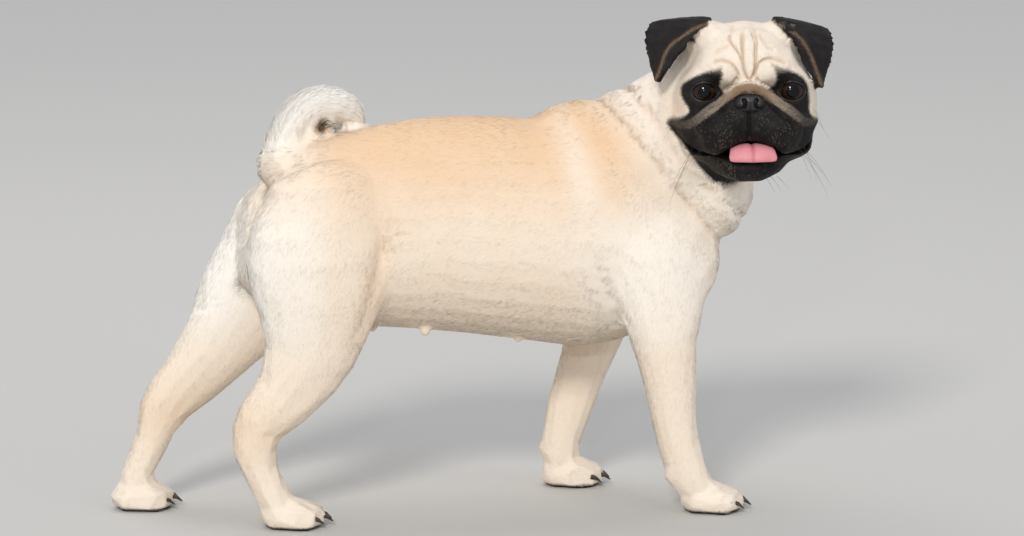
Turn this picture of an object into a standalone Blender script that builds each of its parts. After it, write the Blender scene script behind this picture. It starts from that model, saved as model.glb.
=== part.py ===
"""A standing pug at life size, as the solids of a still display model.

Run it with: blender --background --python part.py

The trunk points along +X, the pug's left is +Y and +Z is up, in metres. The paws stand on Z = 0 and
the origin is on the floor under the middle of the whole figure. While it is modelled, the origin is on
the floor under the middle of the back. The head is turned to the pug's right.
Every soft form is lofted from named stations or made from ellipsoids, grown into one skin by a voxel
remesh, and then parted into the pieces that a person would name.
"""

from dataclasses import dataclass
from math import cos, pi, radians, sin

import bmesh
import bpy
from mathutils import Euler, Matrix, Vector

RIGHT, LEFT = -1, 1

# Driving dimensions, in metres
WITHERS = 0.286  # height of the back over the shoulders, which sizes the whole figure
DRAWN_WITHERS = 0.286  # the same height in the stations below
GAP = 0.0004  # clearance between two neighbouring pieces
EYE_RADIUS = 0.0103
EYE_SPREAD = 0.0303  # from the middle of the face to the middle of an eyeball
EYE_DEPTH = 0.0095  # how far the eyeballs' middles lie behind the head's origin
EAR_THICKNESS = 0.0034
EAR_HINGE = (0.022, 0.050)  # where the ears bend away from the skull: across, up
CLAW_LENGTH = 0.0078
CLAW_RADIUS = 0.0019
CLAW_DROP = 0.0042  # how far a claw's tip bends down
CLAW_ROOT = (0.0080, 0.0085)  # ahead of the toe's middle, and above the floor

# How finely the skin is made
VOXEL = 0.0032
SMOOTHING_ROUNDS = 7
FLESH_TRIANGLES = 2700
FACE_REACH = 0.070  # the face keeps finer triangles than the body does
FACE_THINNING = 0.5  # how freely the face is thinned, where the body is 1
THINNING_BIAS = 0.004  # how strongly that difference counts
RING_SIDES = 20
SPLINE_STEPS = 5

# Heights of the cuts that part the legs, above the floor
WRIST_HEIGHT = 0.034
ELBOW_HEIGHT = 0.122
HIND_PASTERN_HEIGHT = 0.029
HOCK_HEIGHT = 0.070
STIFLE_HEIGHT = {RIGHT: 0.130, LEFT: 0.143}
THIGH_CENTRE = {RIGHT: -0.150, LEFT: -0.168}
THIGH_REACH = {RIGHT: 0.062, LEFT: 0.071}  # half the length of the region parted as the thigh
NECK_CUT = (0.090, -0.004, 0.240)  # on the plane between trunk and neck
NECK_LINE = (0.60, -0.30, 0.74)  # square to that plane
JAW_TOP = -0.0415  # height of the cut between head and lower jaw, below the eyes
LEG_SPANS = {"fore": (-0.02, 0.20), "hind": (-0.32, -0.09)}  # from x to x
LEG_INNER = {"fore": 0.0345, "hind": 0.016}  # how near to the middle plane the boxes round the legs start

# Where the head sits and how it is turned
EYES_MIDDLE = Vector((0.1472, -0.0985, 0.3078))
HEAD_YAW = radians(-100)
HEAD_LIFT = radians(4)
HEAD_ROLL = radians(0.3)


@dataclass(frozen=True)
class Station:
    """A cross-section of a limb: its middle, and its half sizes across and through the limb."""

    middle: tuple
    across: float
    through: float


@dataclass(frozen=True)
class Leg:
    """The places of one leg's joints, from the body down to the paw."""

    stations: tuple
    paw: tuple
    toe_out: float


def head_matrix():
    """The head's frame: x out of the face, y to the pug's left, z up, from between the eyeballs."""
    turn = Matrix.Rotation(HEAD_YAW, 4, "Z") @ Matrix.Rotation(-HEAD_LIFT, 4, "Y")
    return Matrix.Translation(EYES_MIDDLE) @ turn @ Matrix.Rotation(HEAD_ROLL, 4, "X")


HEAD = head_matrix()


# Stations of the trunk, from the rump to the chest: (x, height of back, height of belly, half width)
TRUNK = (
    (-0.182, 0.246, 0.178, 0.034),
    (-0.170, 0.262, 0.152, 0.047),
    (-0.145, 0.271, 0.140, 0.055),
    (-0.105, 0.278, 0.134, 0.060),
    (-0.062, 0.283, 0.130, 0.064),
    (-0.020, 0.283, 0.125, 0.070),
    (0.010, 0.280, 0.120, 0.073),
    (0.045, 0.286, 0.114, 0.073),
    (0.080, 0.284, 0.120, 0.069),
    (0.115, 0.266, 0.138, 0.060),
    (0.140, 0.240, 0.156, 0.045),
)

NECK = (
    Station((0.070, 0.000, 0.222), 0.066, 0.070),
    Station((0.104, -0.008, 0.246), 0.061, 0.061),
    Station((0.130, -0.024, 0.272), 0.055, 0.054),
    Station((0.146, -0.046, 0.298), 0.047, 0.046),
    Station((0.150, -0.060, 0.306), 0.040, 0.038),
)

TAIL = (
    Station((-0.148, 0.000, 0.236), 0.0160, 0.0170),
    Station((-0.164, 0.000, 0.254), 0.0165, 0.0165),
    Station((-0.162, 0.000, 0.273), 0.0158, 0.0145),
    Station((-0.153, 0.001, 0.288), 0.0155, 0.0140),
    Station((-0.138, 0.003, 0.295), 0.0152, 0.0136),
    Station((-0.121, 0.008, 0.291), 0.0148, 0.0134),
    Station((-0.112, 0.018, 0.281), 0.0128, 0.0112),
    Station((-0.118, 0.030, 0.277), 0.0100, 0.0088),
    Station((-0.132, 0.036, 0.281), 0.0058, 0.0052),
)

FORE_RIGHT = Leg(
    (
        Station((0.070, -0.046, 0.226), 0.022, 0.038),
        Station((0.090, -0.052, 0.190), 0.024, 0.042),
        Station((0.096, -0.055, 0.155), 0.021, 0.034),
        Station((0.099, -0.056, 0.124), 0.0175, 0.0245),
        Station((0.103, -0.056, 0.094), 0.0155, 0.0195),
        Station((0.107, -0.055, 0.064), 0.0140, 0.0168),
        Station((0.113, -0.054, 0.040), 0.0138, 0.0152),
        Station((0.121, -0.053, 0.020), 0.0142, 0.0140),
    ),
    (0.1330, -0.0530, 0.0),
    radians(-3),
)

FORE_LEFT = Leg(
    (
        Station((0.072, 0.046, 0.226), 0.022, 0.038),
        Station((0.088, 0.052, 0.190), 0.024, 0.042),
        Station((0.083, 0.054, 0.155), 0.021, 0.033),
        Station((0.076, 0.053, 0.122), 0.0175, 0.0240),
        Station((0.065, 0.052, 0.090), 0.0155, 0.0195),
        Station((0.054, 0.051, 0.058), 0.0140, 0.0175),
        Station((0.048, 0.051, 0.036), 0.0138, 0.0150),
        Station((0.046, 0.051, 0.020), 0.0142, 0.0135),
    ),
    (0.0540, 0.0510, 0.0),
    radians(-8),
)

HIND_RIGHT = Leg(
    (
        Station((-0.140, -0.036, 0.236), 0.024, 0.040),
        Station((-0.146, -0.043, 0.202), 0.026, 0.052),
        Station((-0.147, -0.044, 0.172), 0.025, 0.050),
        Station((-0.150, -0.043, 0.143), 0.022, 0.040),
        Station((-0.156, -0.042, 0.120), 0.019, 0.033),
        Station((-0.170, -0.041, 0.096), 0.0160, 0.0250),
        Station((-0.190, -0.040, 0.074), 0.0145, 0.0190),
        Station((-0.193, -0.040, 0.056), 0.0135, 0.0160),
        Station((-0.187, -0.040, 0.037), 0.0130, 0.0130),
        Station((-0.179, -0.040, 0.020), 0.0140, 0.0125),
    ),
    (-0.1680, -0.0400, 0.0),
    radians(-4),
)

HIND_LEFT = Leg(
    (
        Station((-0.134, 0.036, 0.226), 0.024, 0.034),
        Station((-0.149, 0.043, 0.200), 0.026, 0.046),
        Station((-0.165, 0.044, 0.172), 0.025, 0.045),
        Station((-0.185, 0.043, 0.146), 0.022, 0.040),
        Station((-0.205, 0.042, 0.118), 0.0185, 0.0300),
        Station((-0.226, 0.041, 0.094), 0.0160, 0.0235),
        Station((-0.245, 0.041, 0.074), 0.0145, 0.0190),
        Station((-0.254, 0.040, 0.052), 0.0132, 0.0135),
        Station((-0.264, 0.040, 0.031), 0.0128, 0.0118),
        Station((-0.268, 0.040, 0.020), 0.0135, 0.0120),
    ),
    (-0.2640, 0.0400, 0.0),
    radians(4),
)


def clear_scene():
    """Removes whatever the file opened with."""
    for obj in list(bpy.data.objects):
        bpy.data.objects.remove(obj, do_unlink=True)


def collection(name):
    made = bpy.data.collections.new(name)
    bpy.context.scene.collection.children.link(made)
    return made


def material(name, colour, roughness, metallic=0.0):
    """A Principled BSDF of one colour."""
    made = bpy.data.materials.new(name)
    made.use_nodes = True
    shader = made.node_tree.nodes["Principled BSDF"]
    shader.inputs["Base Color"].default_value = (*colour, 1.0)
    shader.inputs["Roughness"].default_value = roughness
    shader.inputs["Metallic"].default_value = metallic
    return made


def object_from(name, mesh_source, where):
    """Puts a bmesh into a new object of a collection, and frees it."""
    mesh = bpy.data.meshes.new(name)
    mesh_source.to_mesh(mesh)
    mesh_source.free()
    obj = bpy.data.objects.new(name, mesh)
    where.objects.link(obj)
    return obj


def evaluated_mesh(obj):
    """The object's mesh with its modifiers applied, in its own space."""
    graph = bpy.context.evaluated_depsgraph_get()
    return bpy.data.meshes.new_from_object(obj.evaluated_get(graph))


def spline(values, share):
    """A Catmull-Rom point on a list of numbers or vectors, where share runs from 0 to 1."""
    spans = len(values) - 1
    span = min(int(share * spans), spans - 1)
    t = share * spans - span
    before, start = values[max(span - 1, 0)], values[span]
    end, after = values[span + 1], values[min(span + 2, spans)]
    return 0.5 * (
        2 * start + (end - before) * t + (2 * before - 5 * start + 4 * end - after) * t**2
        + (3 * start - before - 3 * end + after) * t**3
    )


def add_loft(bm, stations, across_axis=None, steps=SPLINE_STEPS, sides=RING_SIDES):
    """Lofts a closed limb through its stations. Each ring is an ellipse square to the limb's line.

    across_axis is the direction of each ring's first half size. Without it, that direction is level and
    square to the line.
    """
    middles = [Vector(s.middle) for s in stations]
    across = [s.across for s in stations]
    through = [s.through for s in stations]
    count = (len(stations) - 1) * steps
    rings = []
    for i in range(count + 1):
        share = i / count
        here = spline(middles, share)
        ahead = spline(middles, min(share + 0.01, 1.0)) - spline(middles, max(share - 0.01, 0.0))
        line = ahead.normalized()
        first = Vector(across_axis) if across_axis else Vector((0, 0, 1)).cross(line)
        first = (first - line * first.dot(line)).normalized()
        second = line.cross(first)
        a, b = spline(across, share), spline(through, share)
        turns = (2 * pi * k / sides for k in range(sides))
        rings.append([bm.verts.new(here + first * a * cos(t) + second * b * sin(t)) for t in turns])
    for lower, upper in zip(rings, rings[1:]):
        for k in range(sides):
            j = (k + 1) % sides
            bm.faces.new((lower[k], lower[j], upper[j], upper[k]))
    bm.faces.new(reversed(rings[0]))
    bm.faces.new(rings[-1])


def add_ellipsoid(bm, middle, radii, frame=None, turn=(0, 0, 0), segments=24):
    """Adds an ellipsoid. Its middle and turn are in the given frame, or in the model's own."""
    place = (frame or Matrix.Identity(4)) @ Matrix.Translation(Vector(middle))
    matrix = place @ Euler(turn).to_matrix().to_4x4() @ Matrix.Diagonal((*radii, 1.0))
    bmesh.ops.create_uvsphere(bm, u_segments=segments, v_segments=segments // 2, radius=1.0, matrix=matrix)


def add_trunk(bm):
    """The barrel of the body, from the rump to the breastbone."""
    stations = [
        Station((x, 0.0, (back + belly) / 2), half_width, (back - belly) / 2)
        for x, back, belly, half_width in TRUNK
    ]
    add_loft(bm, stations, across_axis=(0, 1, 0), sides=32)
    add_ellipsoid(bm, (-0.160, 0.000, 0.252), (0.024, 0.022, 0.022))  # root of the tail
    add_ellipsoid(bm, (0.100, 0.000, 0.188), (0.053, 0.056, 0.058))  # breast
    add_ellipsoid(bm, (0.132, -0.026, 0.232), (0.039, 0.044, 0.042))  # throat
    add_ellipsoid(bm, (0.048, 0.000, 0.262), (0.040, 0.034, 0.030))  # withers


def add_haunch(bm, side, forward, height):
    """The muscles of the thigh and buttock, pushed forward or back with the leg."""
    slant = (0, radians(10), 0)
    add_ellipsoid(bm, (-0.138 + forward, side * 0.040, height), (0.050, 0.025, 0.056), turn=slant)
    add_ellipsoid(bm, (-0.162 + forward, side * 0.030, height + 0.005), (0.026, 0.024, 0.042))


def add_shoulder(bm, side):
    """The shoulder blade and upper arm."""
    add_ellipsoid(bm, (0.078, side * 0.046, 0.218), (0.042, 0.026, 0.052), turn=(0, radians(-24), 0))
    add_ellipsoid(bm, (0.106, side * 0.046, 0.176), (0.034, 0.026, 0.040), turn=(0, radians(30), 0))


TOES = ((-1.5, 0.0065), (-0.5, 0.0138), (0.5, 0.0138), (1.5, 0.0065))  # place across, reach forward
TOE_PITCH = 0.0092


def paw_frame(leg):
    return Matrix.Translation(Vector(leg.paw)) @ Matrix.Rotation(leg.toe_out, 4, "Z")


def add_paw(bm, leg):
    """A round paw: the pad, the pastern that the leg stands in, and four toes with arched knuckles."""
    frame = paw_frame(leg)
    add_ellipsoid(bm, (-0.006, 0.0, 0.0085), (0.0160, 0.0165, 0.0120), frame)
    add_ellipsoid(bm, (0.002, 0.0, 0.0120), (0.0155, 0.0150, 0.0095), frame)
    for across, reach in TOES:
        middle = (reach, across * TOE_PITCH, 0.0078)
        add_ellipsoid(bm, middle, (0.0128, 0.0064, 0.0102), frame, segments=16)


def add_carpal_pads(bm):
    """The small pad behind each wrist."""
    add_ellipsoid(bm, (0.1040, -0.0545, 0.0270), (0.0065, 0.0060, 0.0050))
    add_ellipsoid(bm, (0.0360, 0.0520, 0.0290), (0.0065, 0.0060, 0.0050))


def add_head_forms(bm):
    """Skull, cheeks, brows, short muzzle, nose roll and jaw, in the head's frame."""
    add_ellipsoid(bm, (-0.044, 0.0, 0.002), (0.046, 0.046, 0.046), HEAD)  # skull
    add_ellipsoid(bm, (-0.026, 0.0, 0.014), (0.029, 0.038, 0.030), HEAD)  # forehead
    add_ellipsoid(bm, (-0.004, 0.0, -0.018), (0.022, 0.036, 0.019), HEAD)  # root of the muzzle
    add_ellipsoid(bm, (-0.014, 0.0, -0.046), (0.028, 0.0300, 0.0180), HEAD)  # jaw
    add_ellipsoid(bm, (0.0005, 0.0, -0.0505), (0.0160, 0.0225, 0.0130), HEAD)  # chin
    add_ellipsoid(bm, (-0.045, 0.0, -0.036), (0.034, 0.040, 0.028), HEAD)  # throat
    for side in (RIGHT, LEFT):
        add_ellipsoid(bm, (-0.038, side * 0.0260, 0.0360), (0.018, 0.0160, 0.0140), HEAD)  # root of the ear
        add_ellipsoid(bm, (-0.032, side * 0.0278, -0.010), (0.032, 0.0238, 0.031), HEAD)  # cheek
        add_ellipsoid(bm, (-0.022, side * 0.0300, -0.030), (0.025, 0.0175, 0.020), HEAD)  # jowl
        add_ellipsoid(bm, (-0.0155, side * EYE_SPREAD, 0.000), (0.0130, 0.0155, 0.0145), HEAD)  # eye's rim
        add_ellipsoid(bm, (-0.008, side * 0.0170, 0.0145), (0.0120, 0.0115, 0.0100), HEAD)  # brow
        add_ellipsoid(bm, (0.0036, side * 0.0180, -0.0245), (0.0180, 0.0210, 0.0150), HEAD)  # flew
    half_roll = (
        Station((0.0090, 0.0205, -0.0095), 0.0055, 0.0055),
        Station((0.001, 0.0305, -0.0165), 0.0055, 0.0055),
        Station((-0.010, 0.0415, -0.0208), 0.0052, 0.0052),
        Station((-0.024, 0.0490, -0.0220), 0.0040, 0.0040),
    )
    crown = (
        Station((0.0122, -0.0110, -0.0005), 0.0054, 0.0054),
        Station((0.0132, 0.0000, 0.0030), 0.0054, 0.0054),
        Station((0.0122, 0.0110, -0.0005), 0.0054, 0.0054),
    )
    roll = [mirrored(s) for s in reversed(half_roll)] + list(crown) + list(half_roll)
    add_loft(bm, [in_head(s) for s in roll], sides=12)


def mirrored(station):
    """The same station on the other side of the head."""
    x, y, z = station.middle
    return Station((x, -y, z), station.across, station.through)


def in_head(station):
    """A station given in the head's frame, placed in the model's."""
    return Station(HEAD @ Vector(station.middle), station.across, station.through)


def grow(mesh, distance):
    """Moves every vertex out along its normal."""
    bm = bmesh.new()
    bm.from_mesh(mesh)
    bmesh.ops.recalc_face_normals(bm, faces=bm.faces)
    bm.normal_update()
    moves = [(v, v.normal * distance) for v in bm.verts]
    for vertex, move in moves:
        vertex.co += move
    bm.to_mesh(mesh)
    bm.free()
    return mesh


def grown_skin(forms, where):
    """One closed skin over all the forms: remeshed, smoothed and thinned to FLESH_TRIANGLES."""
    skin = object_from("skin", forms, where)
    remesh = skin.modifiers.new("join", "REMESH")
    remesh.mode = "VOXEL"
    remesh.voxel_size = VOXEL
    smooth = skin.modifiers.new("soften", "SMOOTH")
    smooth.factor = 0.5
    smooth.iterations = SMOOTHING_ROUNDS
    skin.data = evaluated_mesh(skin)
    skin.modifiers.clear()
    skin.data.validate()
    faces = sum(len(p.vertices) - 2 for p in skin.data.polygons)
    thinned = skin.vertex_groups.new(name="thinned")
    for vertex in skin.data.vertices:
        on_face = (vertex.co - EYES_MIDDLE).length < FACE_REACH
        thinned.add([vertex.index], FACE_THINNING if on_face else 1.0, "REPLACE")
    thin = skin.modifiers.new("thin", "DECIMATE")
    thin.ratio = FLESH_TRIANGLES / faces
    thin.vertex_group = "thinned"
    thin.vertex_group_factor = THINNING_BIAS
    thin.use_collapse_triangulate = True
    skin.data = evaluated_mesh(skin)
    skin.modifiers.clear()
    return skin


class Carver:
    """Cuts solids with Booleans and keeps the clearance between what it parts."""

    def __init__(self, tools):
        self.tools = tools

    def apply(self, obj, tool, operation):
        """Applies one Boolean with the EXACT solver and keeps the result as the object's mesh."""
        modifier = obj.modifiers.new(operation, "BOOLEAN")
        modifier.operation = operation
        modifier.solver = "EXACT"
        modifier.object = tool
        obj.data = evaluated_mesh(obj)
        obj.modifiers.clear()
        return obj

    def tool(self, name, bm, growth=0.0):
        """A cutter from a bmesh, hidden from renders."""
        bmesh.ops.recalc_face_normals(bm, faces=bm.faces)
        obj = object_from(name, bm, self.tools)
        if growth:
            grow(obj.data, growth)
        obj.hide_render = True
        obj.display_type = "WIRE"
        return obj

    def part(self, body, name, make_region, where):
        """Takes the share of body inside a region into a new object, and leaves a gap round it."""
        piece = bpy.data.objects.new(name, body.data.copy())
        where.objects.link(piece)
        self.apply(piece, self.tool(name + "_region", make_region()), "INTERSECT")
        self.apply(body, self.tool(name + "_clearance", make_region(), GAP), "DIFFERENCE")
        return piece

    def fit(self, piece, body):
        """Trims a piece back to a gap outside the body that it grows from."""
        cutter = bpy.data.objects.new(piece.name + "_seat", grow(body.data.copy(), GAP))
        self.tools.objects.link(cutter)
        cutter.hide_render = True
        cutter.display_type = "WIRE"
        return self.apply(piece, cutter, "DIFFERENCE")


def block(low, high, frame=None):
    """A box from its lowest to its highest corner, as a bmesh."""
    low, high = Vector(low), Vector(high)
    place = (frame or Matrix.Identity(4)) @ Matrix.Translation((low + high) / 2)
    bm = bmesh.new()
    bmesh.ops.create_cube(bm, size=1.0, matrix=place @ Matrix.Diagonal((*(high - low), 1.0)))
    return bm


def slab_from(point, direction, reach, half_size):
    """A block that starts at a plane through point, and runs along direction for reach."""
    turn = Vector(direction).normalized().to_track_quat("X", "Z").to_matrix().to_4x4()
    frame = Matrix.Translation(Vector(point)) @ turn
    return block((0, -half_size, -half_size), (reach, half_size, half_size), frame)


def egg(middle, radii, frame=None):
    """An ellipsoid as a bmesh."""
    bm = bmesh.new()
    add_ellipsoid(bm, middle, radii, frame, segments=14)
    return bm


def largest_body(obj):
    """Keeps the biggest connected piece of a mesh, where a cut has left crumbs."""
    bm = bmesh.new()
    bm.from_mesh(obj.data)
    bmesh.ops.remove_doubles(bm, verts=bm.verts, dist=1e-6)
    bm.verts.ensure_lookup_table()
    unseen, bodies = set(bm.verts), []
    while unseen:
        body, front = set(), [unseen.pop()]
        while front:
            vertex = front.pop()
            body.add(vertex)
            for edge in vertex.link_edges:
                other = edge.other_vert(vertex)
                if other in unseen:
                    unseen.discard(other)
                    front.append(other)
        bodies.append(body)
    keep = max(bodies, key=len)
    bmesh.ops.delete(bm, geom=[v for v in bm.verts if v not in keep], context="VERTS")
    bm.to_mesh(obj.data)
    bm.free()
    return obj


def mouth_opening():
    """The gap between the flews and the dropped jaw: a crescent that is tallest at the tongue."""
    half = (
        Station((0.006, 0.0150, -0.0420), 0.0260, 0.0052),
        Station((-0.001, 0.0270, -0.0410), 0.0200, 0.0032),
        Station((-0.012, 0.0400, -0.0360), 0.0140, 0.0020),
        Station((-0.022, 0.0500, -0.0290), 0.0080, 0.0008),
    )
    middle = Station((0.007, 0.0000, -0.0420), 0.0280, 0.0062)
    lip = [mirrored(s) for s in reversed(half)] + [middle] + list(half)
    bm = bmesh.new()
    add_loft(bm, [in_head(s) for s in lip], sides=12, steps=2)
    return bm


def make_tongue(where):
    """A broad tongue that lies in the jaw and hangs over its lip."""
    line = (
        Station((-0.016, 0.0000, -0.0405), 0.0110, 0.0022),
        Station((-0.002, 0.0008, -0.0378), 0.0140, 0.0026),
        Station((0.009, 0.0014, -0.0366), 0.0158, 0.0027),
        Station((0.0162, 0.0018, -0.0385), 0.0165, 0.0026),
        Station((0.0196, 0.0020, -0.0435), 0.0165, 0.0024),
        Station((0.0200, 0.0022, -0.0468), 0.0140, 0.0018),
    )
    bm = bmesh.new()
    across = HEAD.to_3x3() @ Vector((0, 1, 0))
    add_loft(bm, [in_head(s) for s in line], across_axis=across, sides=12, steps=2)
    bmesh.ops.recalc_face_normals(bm, faces=bm.faces)
    return object_from("tongue", bm, where)


# Inner edge and outer edge of the right ear's leather, from its root to its tip, in the head's frame
EAR_EDGES = (
    ((-0.034, 0.0230, 0.036), (-0.060, 0.0430, 0.018)),
    ((-0.036, 0.0215, 0.048), (-0.064, 0.0560, 0.036)),
    ((-0.030, 0.0225, 0.0505), (-0.052, 0.0625, 0.0475)),
    ((-0.020, 0.0300, 0.0430), (-0.042, 0.0680, 0.0410)),
    ((-0.014, 0.0430, 0.0290), (-0.034, 0.0685, 0.0290)),
    ((-0.014, 0.0540, 0.0140), (-0.026, 0.0655, 0.0150)),
    ((-0.017, 0.0595, 0.0060), (-0.020, 0.0620, 0.0065)),
)
EAR_SPANS = 10
EAR_SIDES = 8


def make_ear(name, side, spread, droop, where):
    """A folded button ear: leather that rises from the skull, turns over and hangs to its tip."""
    across, up = EAR_HINGE
    hinge = Matrix.Translation((0, side * (across + spread), up))
    lean = hinge @ Matrix.Rotation(-side * droop, 4, "X") @ hinge.inverted()
    inner = [lean @ Vector((x, side * (y + spread), z)) for (x, y, z), _ in EAR_EDGES]
    outer = [lean @ Vector((x, side * (y + spread), z)) for _, (x, y, z) in EAR_EDGES]
    bm = bmesh.new()
    rings = []
    for i in range(EAR_SPANS + 1):
        share = i / EAR_SPANS
        a, b = spline(inner, share), spline(outer, share)
        ahead, behind = min(share + 0.02, 1.0), max(share - 0.02, 0.0)
        line = spline(inner, ahead) + spline(outer, ahead) - spline(inner, behind) - spline(outer, behind)
        line.normalize()
        wide = (b - a) / 2
        thick = wide.cross(line).normalized() * EAR_THICKNESS / 2
        turns = [2 * pi * k / EAR_SIDES for k in range(EAR_SIDES)]
        points = [(a + b) / 2 + wide * cos(t) + thick * sin(t) for t in turns]
        rings.append([bm.verts.new(HEAD @ p) for p in points])
    for lower, upper in zip(rings, rings[1:]):
        for k in range(EAR_SIDES):
            j = (k + 1) % EAR_SIDES
            bm.faces.new((lower[k], lower[j], upper[j], upper[k]))
    bm.faces.new(rings[0])
    bm.faces.new(rings[-1])
    bmesh.ops.recalc_face_normals(bm, faces=bm.faces)
    return object_from(name, bm, where)


def make_eye(name, side, where):
    """An eyeball, with its poles along the line of sight."""
    bm = bmesh.new()
    place = HEAD @ Matrix.Translation((-EYE_DEPTH, side * EYE_SPREAD, 0))
    matrix = place @ Matrix.Rotation(radians(90), 4, "Y")
    bmesh.ops.create_uvsphere(bm, u_segments=14, v_segments=10, radius=EYE_RADIUS, matrix=matrix)
    return object_from(name, bm, where)


NOSE_MIDDLE = (0.0112, 0.0, -0.0060)
NOSE_RADII = (0.0095, 0.0104, 0.0066)
NOSTRIL = Vector((0.0200, 0.0046, -0.0058))


def make_nose(where, carver):
    """The nose leather with its two nostrils."""
    bm = bmesh.new()
    add_ellipsoid(bm, NOSE_MIDDLE, NOSE_RADII, HEAD, segments=14)
    nose = object_from("nose", bm, where)
    for side in (RIGHT, LEFT):
        bm = bmesh.new()
        middle = (NOSTRIL.x, side * NOSTRIL.y, NOSTRIL.z)
        add_ellipsoid(bm, middle, (0.0045, 0.0019, 0.0030), HEAD, (radians(side * 20), 0, 0), segments=8)
        carver.apply(nose, carver.tool(f"nostril_{side}", bm), "DIFFERENCE")
    return nose


def make_claws(name, leg, where):
    """The four claws of a paw, each a short bent cone that starts inside its toe."""
    frame = paw_frame(leg)
    claws = []
    for number, (across, reach) in enumerate(TOES, start=1):
        root = Vector((reach + CLAW_ROOT[0], across * TOE_PITCH, CLAW_ROOT[1]))
        line = [
            Station(frame @ (root + Vector((step * CLAW_LENGTH, 0, -CLAW_DROP * step**2))), radius, radius)
            for step, radius in ((0.0, CLAW_RADIUS), (0.5, 0.8 * CLAW_RADIUS), (1.0, 0.25 * CLAW_RADIUS))
        ]
        bm = bmesh.new()
        add_loft(bm, line, across_axis=(0, 1, 0), steps=1, sides=6)
        bmesh.ops.recalc_face_normals(bm, faces=bm.faces)
        claws.append(object_from(f"claw_{name}_{number}", bm, where))
    return claws


def cut_order():
    """Each piece that is parted from the whole, with the region that bounds it, from the paws up."""
    regions = []
    arm = (0.048, 0.040, 0.060)
    thighs = {side: (reach, 0.046, 0.067) for side, reach in THIGH_REACH.items()}
    for side, word in ((RIGHT, "right"), (LEFT, "left")):
        regions += [
            (f"forepaw_{word}", lambda s=side: leg_box("fore", s, -0.01, WRIST_HEIGHT)),
            (f"forearm_{word}", lambda s=side: leg_box("fore", s, WRIST_HEIGHT, ELBOW_HEIGHT)),
            (f"hindpaw_{word}", lambda s=side: leg_box("hind", s, -0.01, HIND_PASTERN_HEIGHT)),
            (f"metatarsus_{word}", lambda s=side: leg_box("hind", s, HIND_PASTERN_HEIGHT, HOCK_HEIGHT)),
            (f"lower_leg_{word}", lambda s=side: leg_box("hind", s, HOCK_HEIGHT, STIFLE_HEIGHT[s])),
            (f"upper_foreleg_{word}", lambda s=side: egg((0.086, s * 0.070, 0.170), arm)),
            (f"thigh_{word}", lambda s=side: egg((THIGH_CENTRE[s], s * 0.052, 0.180), thighs[s])),
        ]
    regions.append(("head", lambda: egg((-0.020, 0.0, -0.004), (0.060, 0.066, 0.068), frame=HEAD)))
    regions.append(("neck", lambda: slab_from(NECK_CUT, NECK_LINE, reach=0.20, half_size=0.16)))
    return regions


def jaw_region():
    """The chin, the jaw and its skin, below the lips."""
    return block((-0.034, -0.08, -0.09), (0.05, 0.08, JAW_TOP), HEAD)


def leg_box(pair, side, low, high):
    """A box round one leg of the fore or hind pair, between two heights."""
    start, end = LEG_SPANS[pair]
    near, far = sorted((side * LEG_INNER[pair], side * 0.12))
    return block((start, near, low), (end, far, high))


def finish(obj, shader, smooth_angle=radians(50)):
    """Gives a piece its material and shades its round faces smoothly."""
    obj.data.materials.clear()
    obj.data.materials.append(shader)
    obj.data.polygons.foreach_set("use_smooth", [True] * len(obj.data.polygons))
    obj.data.set_sharp_from_angle(angle=smooth_angle)


def stand_on_origin(pieces):
    """Sizes the figure, and hangs it from an empty that puts the origin on the floor under its middle."""
    for mesh in {obj.data for obj in bpy.data.objects if obj.type == "MESH"}:
        mesh.transform(Matrix.Scale(WITHERS / DRAWN_WITHERS, 4))
    corners = [v.co for piece in pieces for v in piece.data.vertices]
    low = Vector(min(c[i] for c in corners) for i in range(3))
    high = Vector(max(c[i] for c in corners) for i in range(3))
    middle = (low + high) / 2
    root = bpy.data.objects.new("pug_origin", None)
    bpy.context.scene.collection.objects.link(root)
    root.location = (-middle.x, -middle.y, -low.z)
    for obj in bpy.data.objects:
        if obj is not root:
            obj.parent = root


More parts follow.
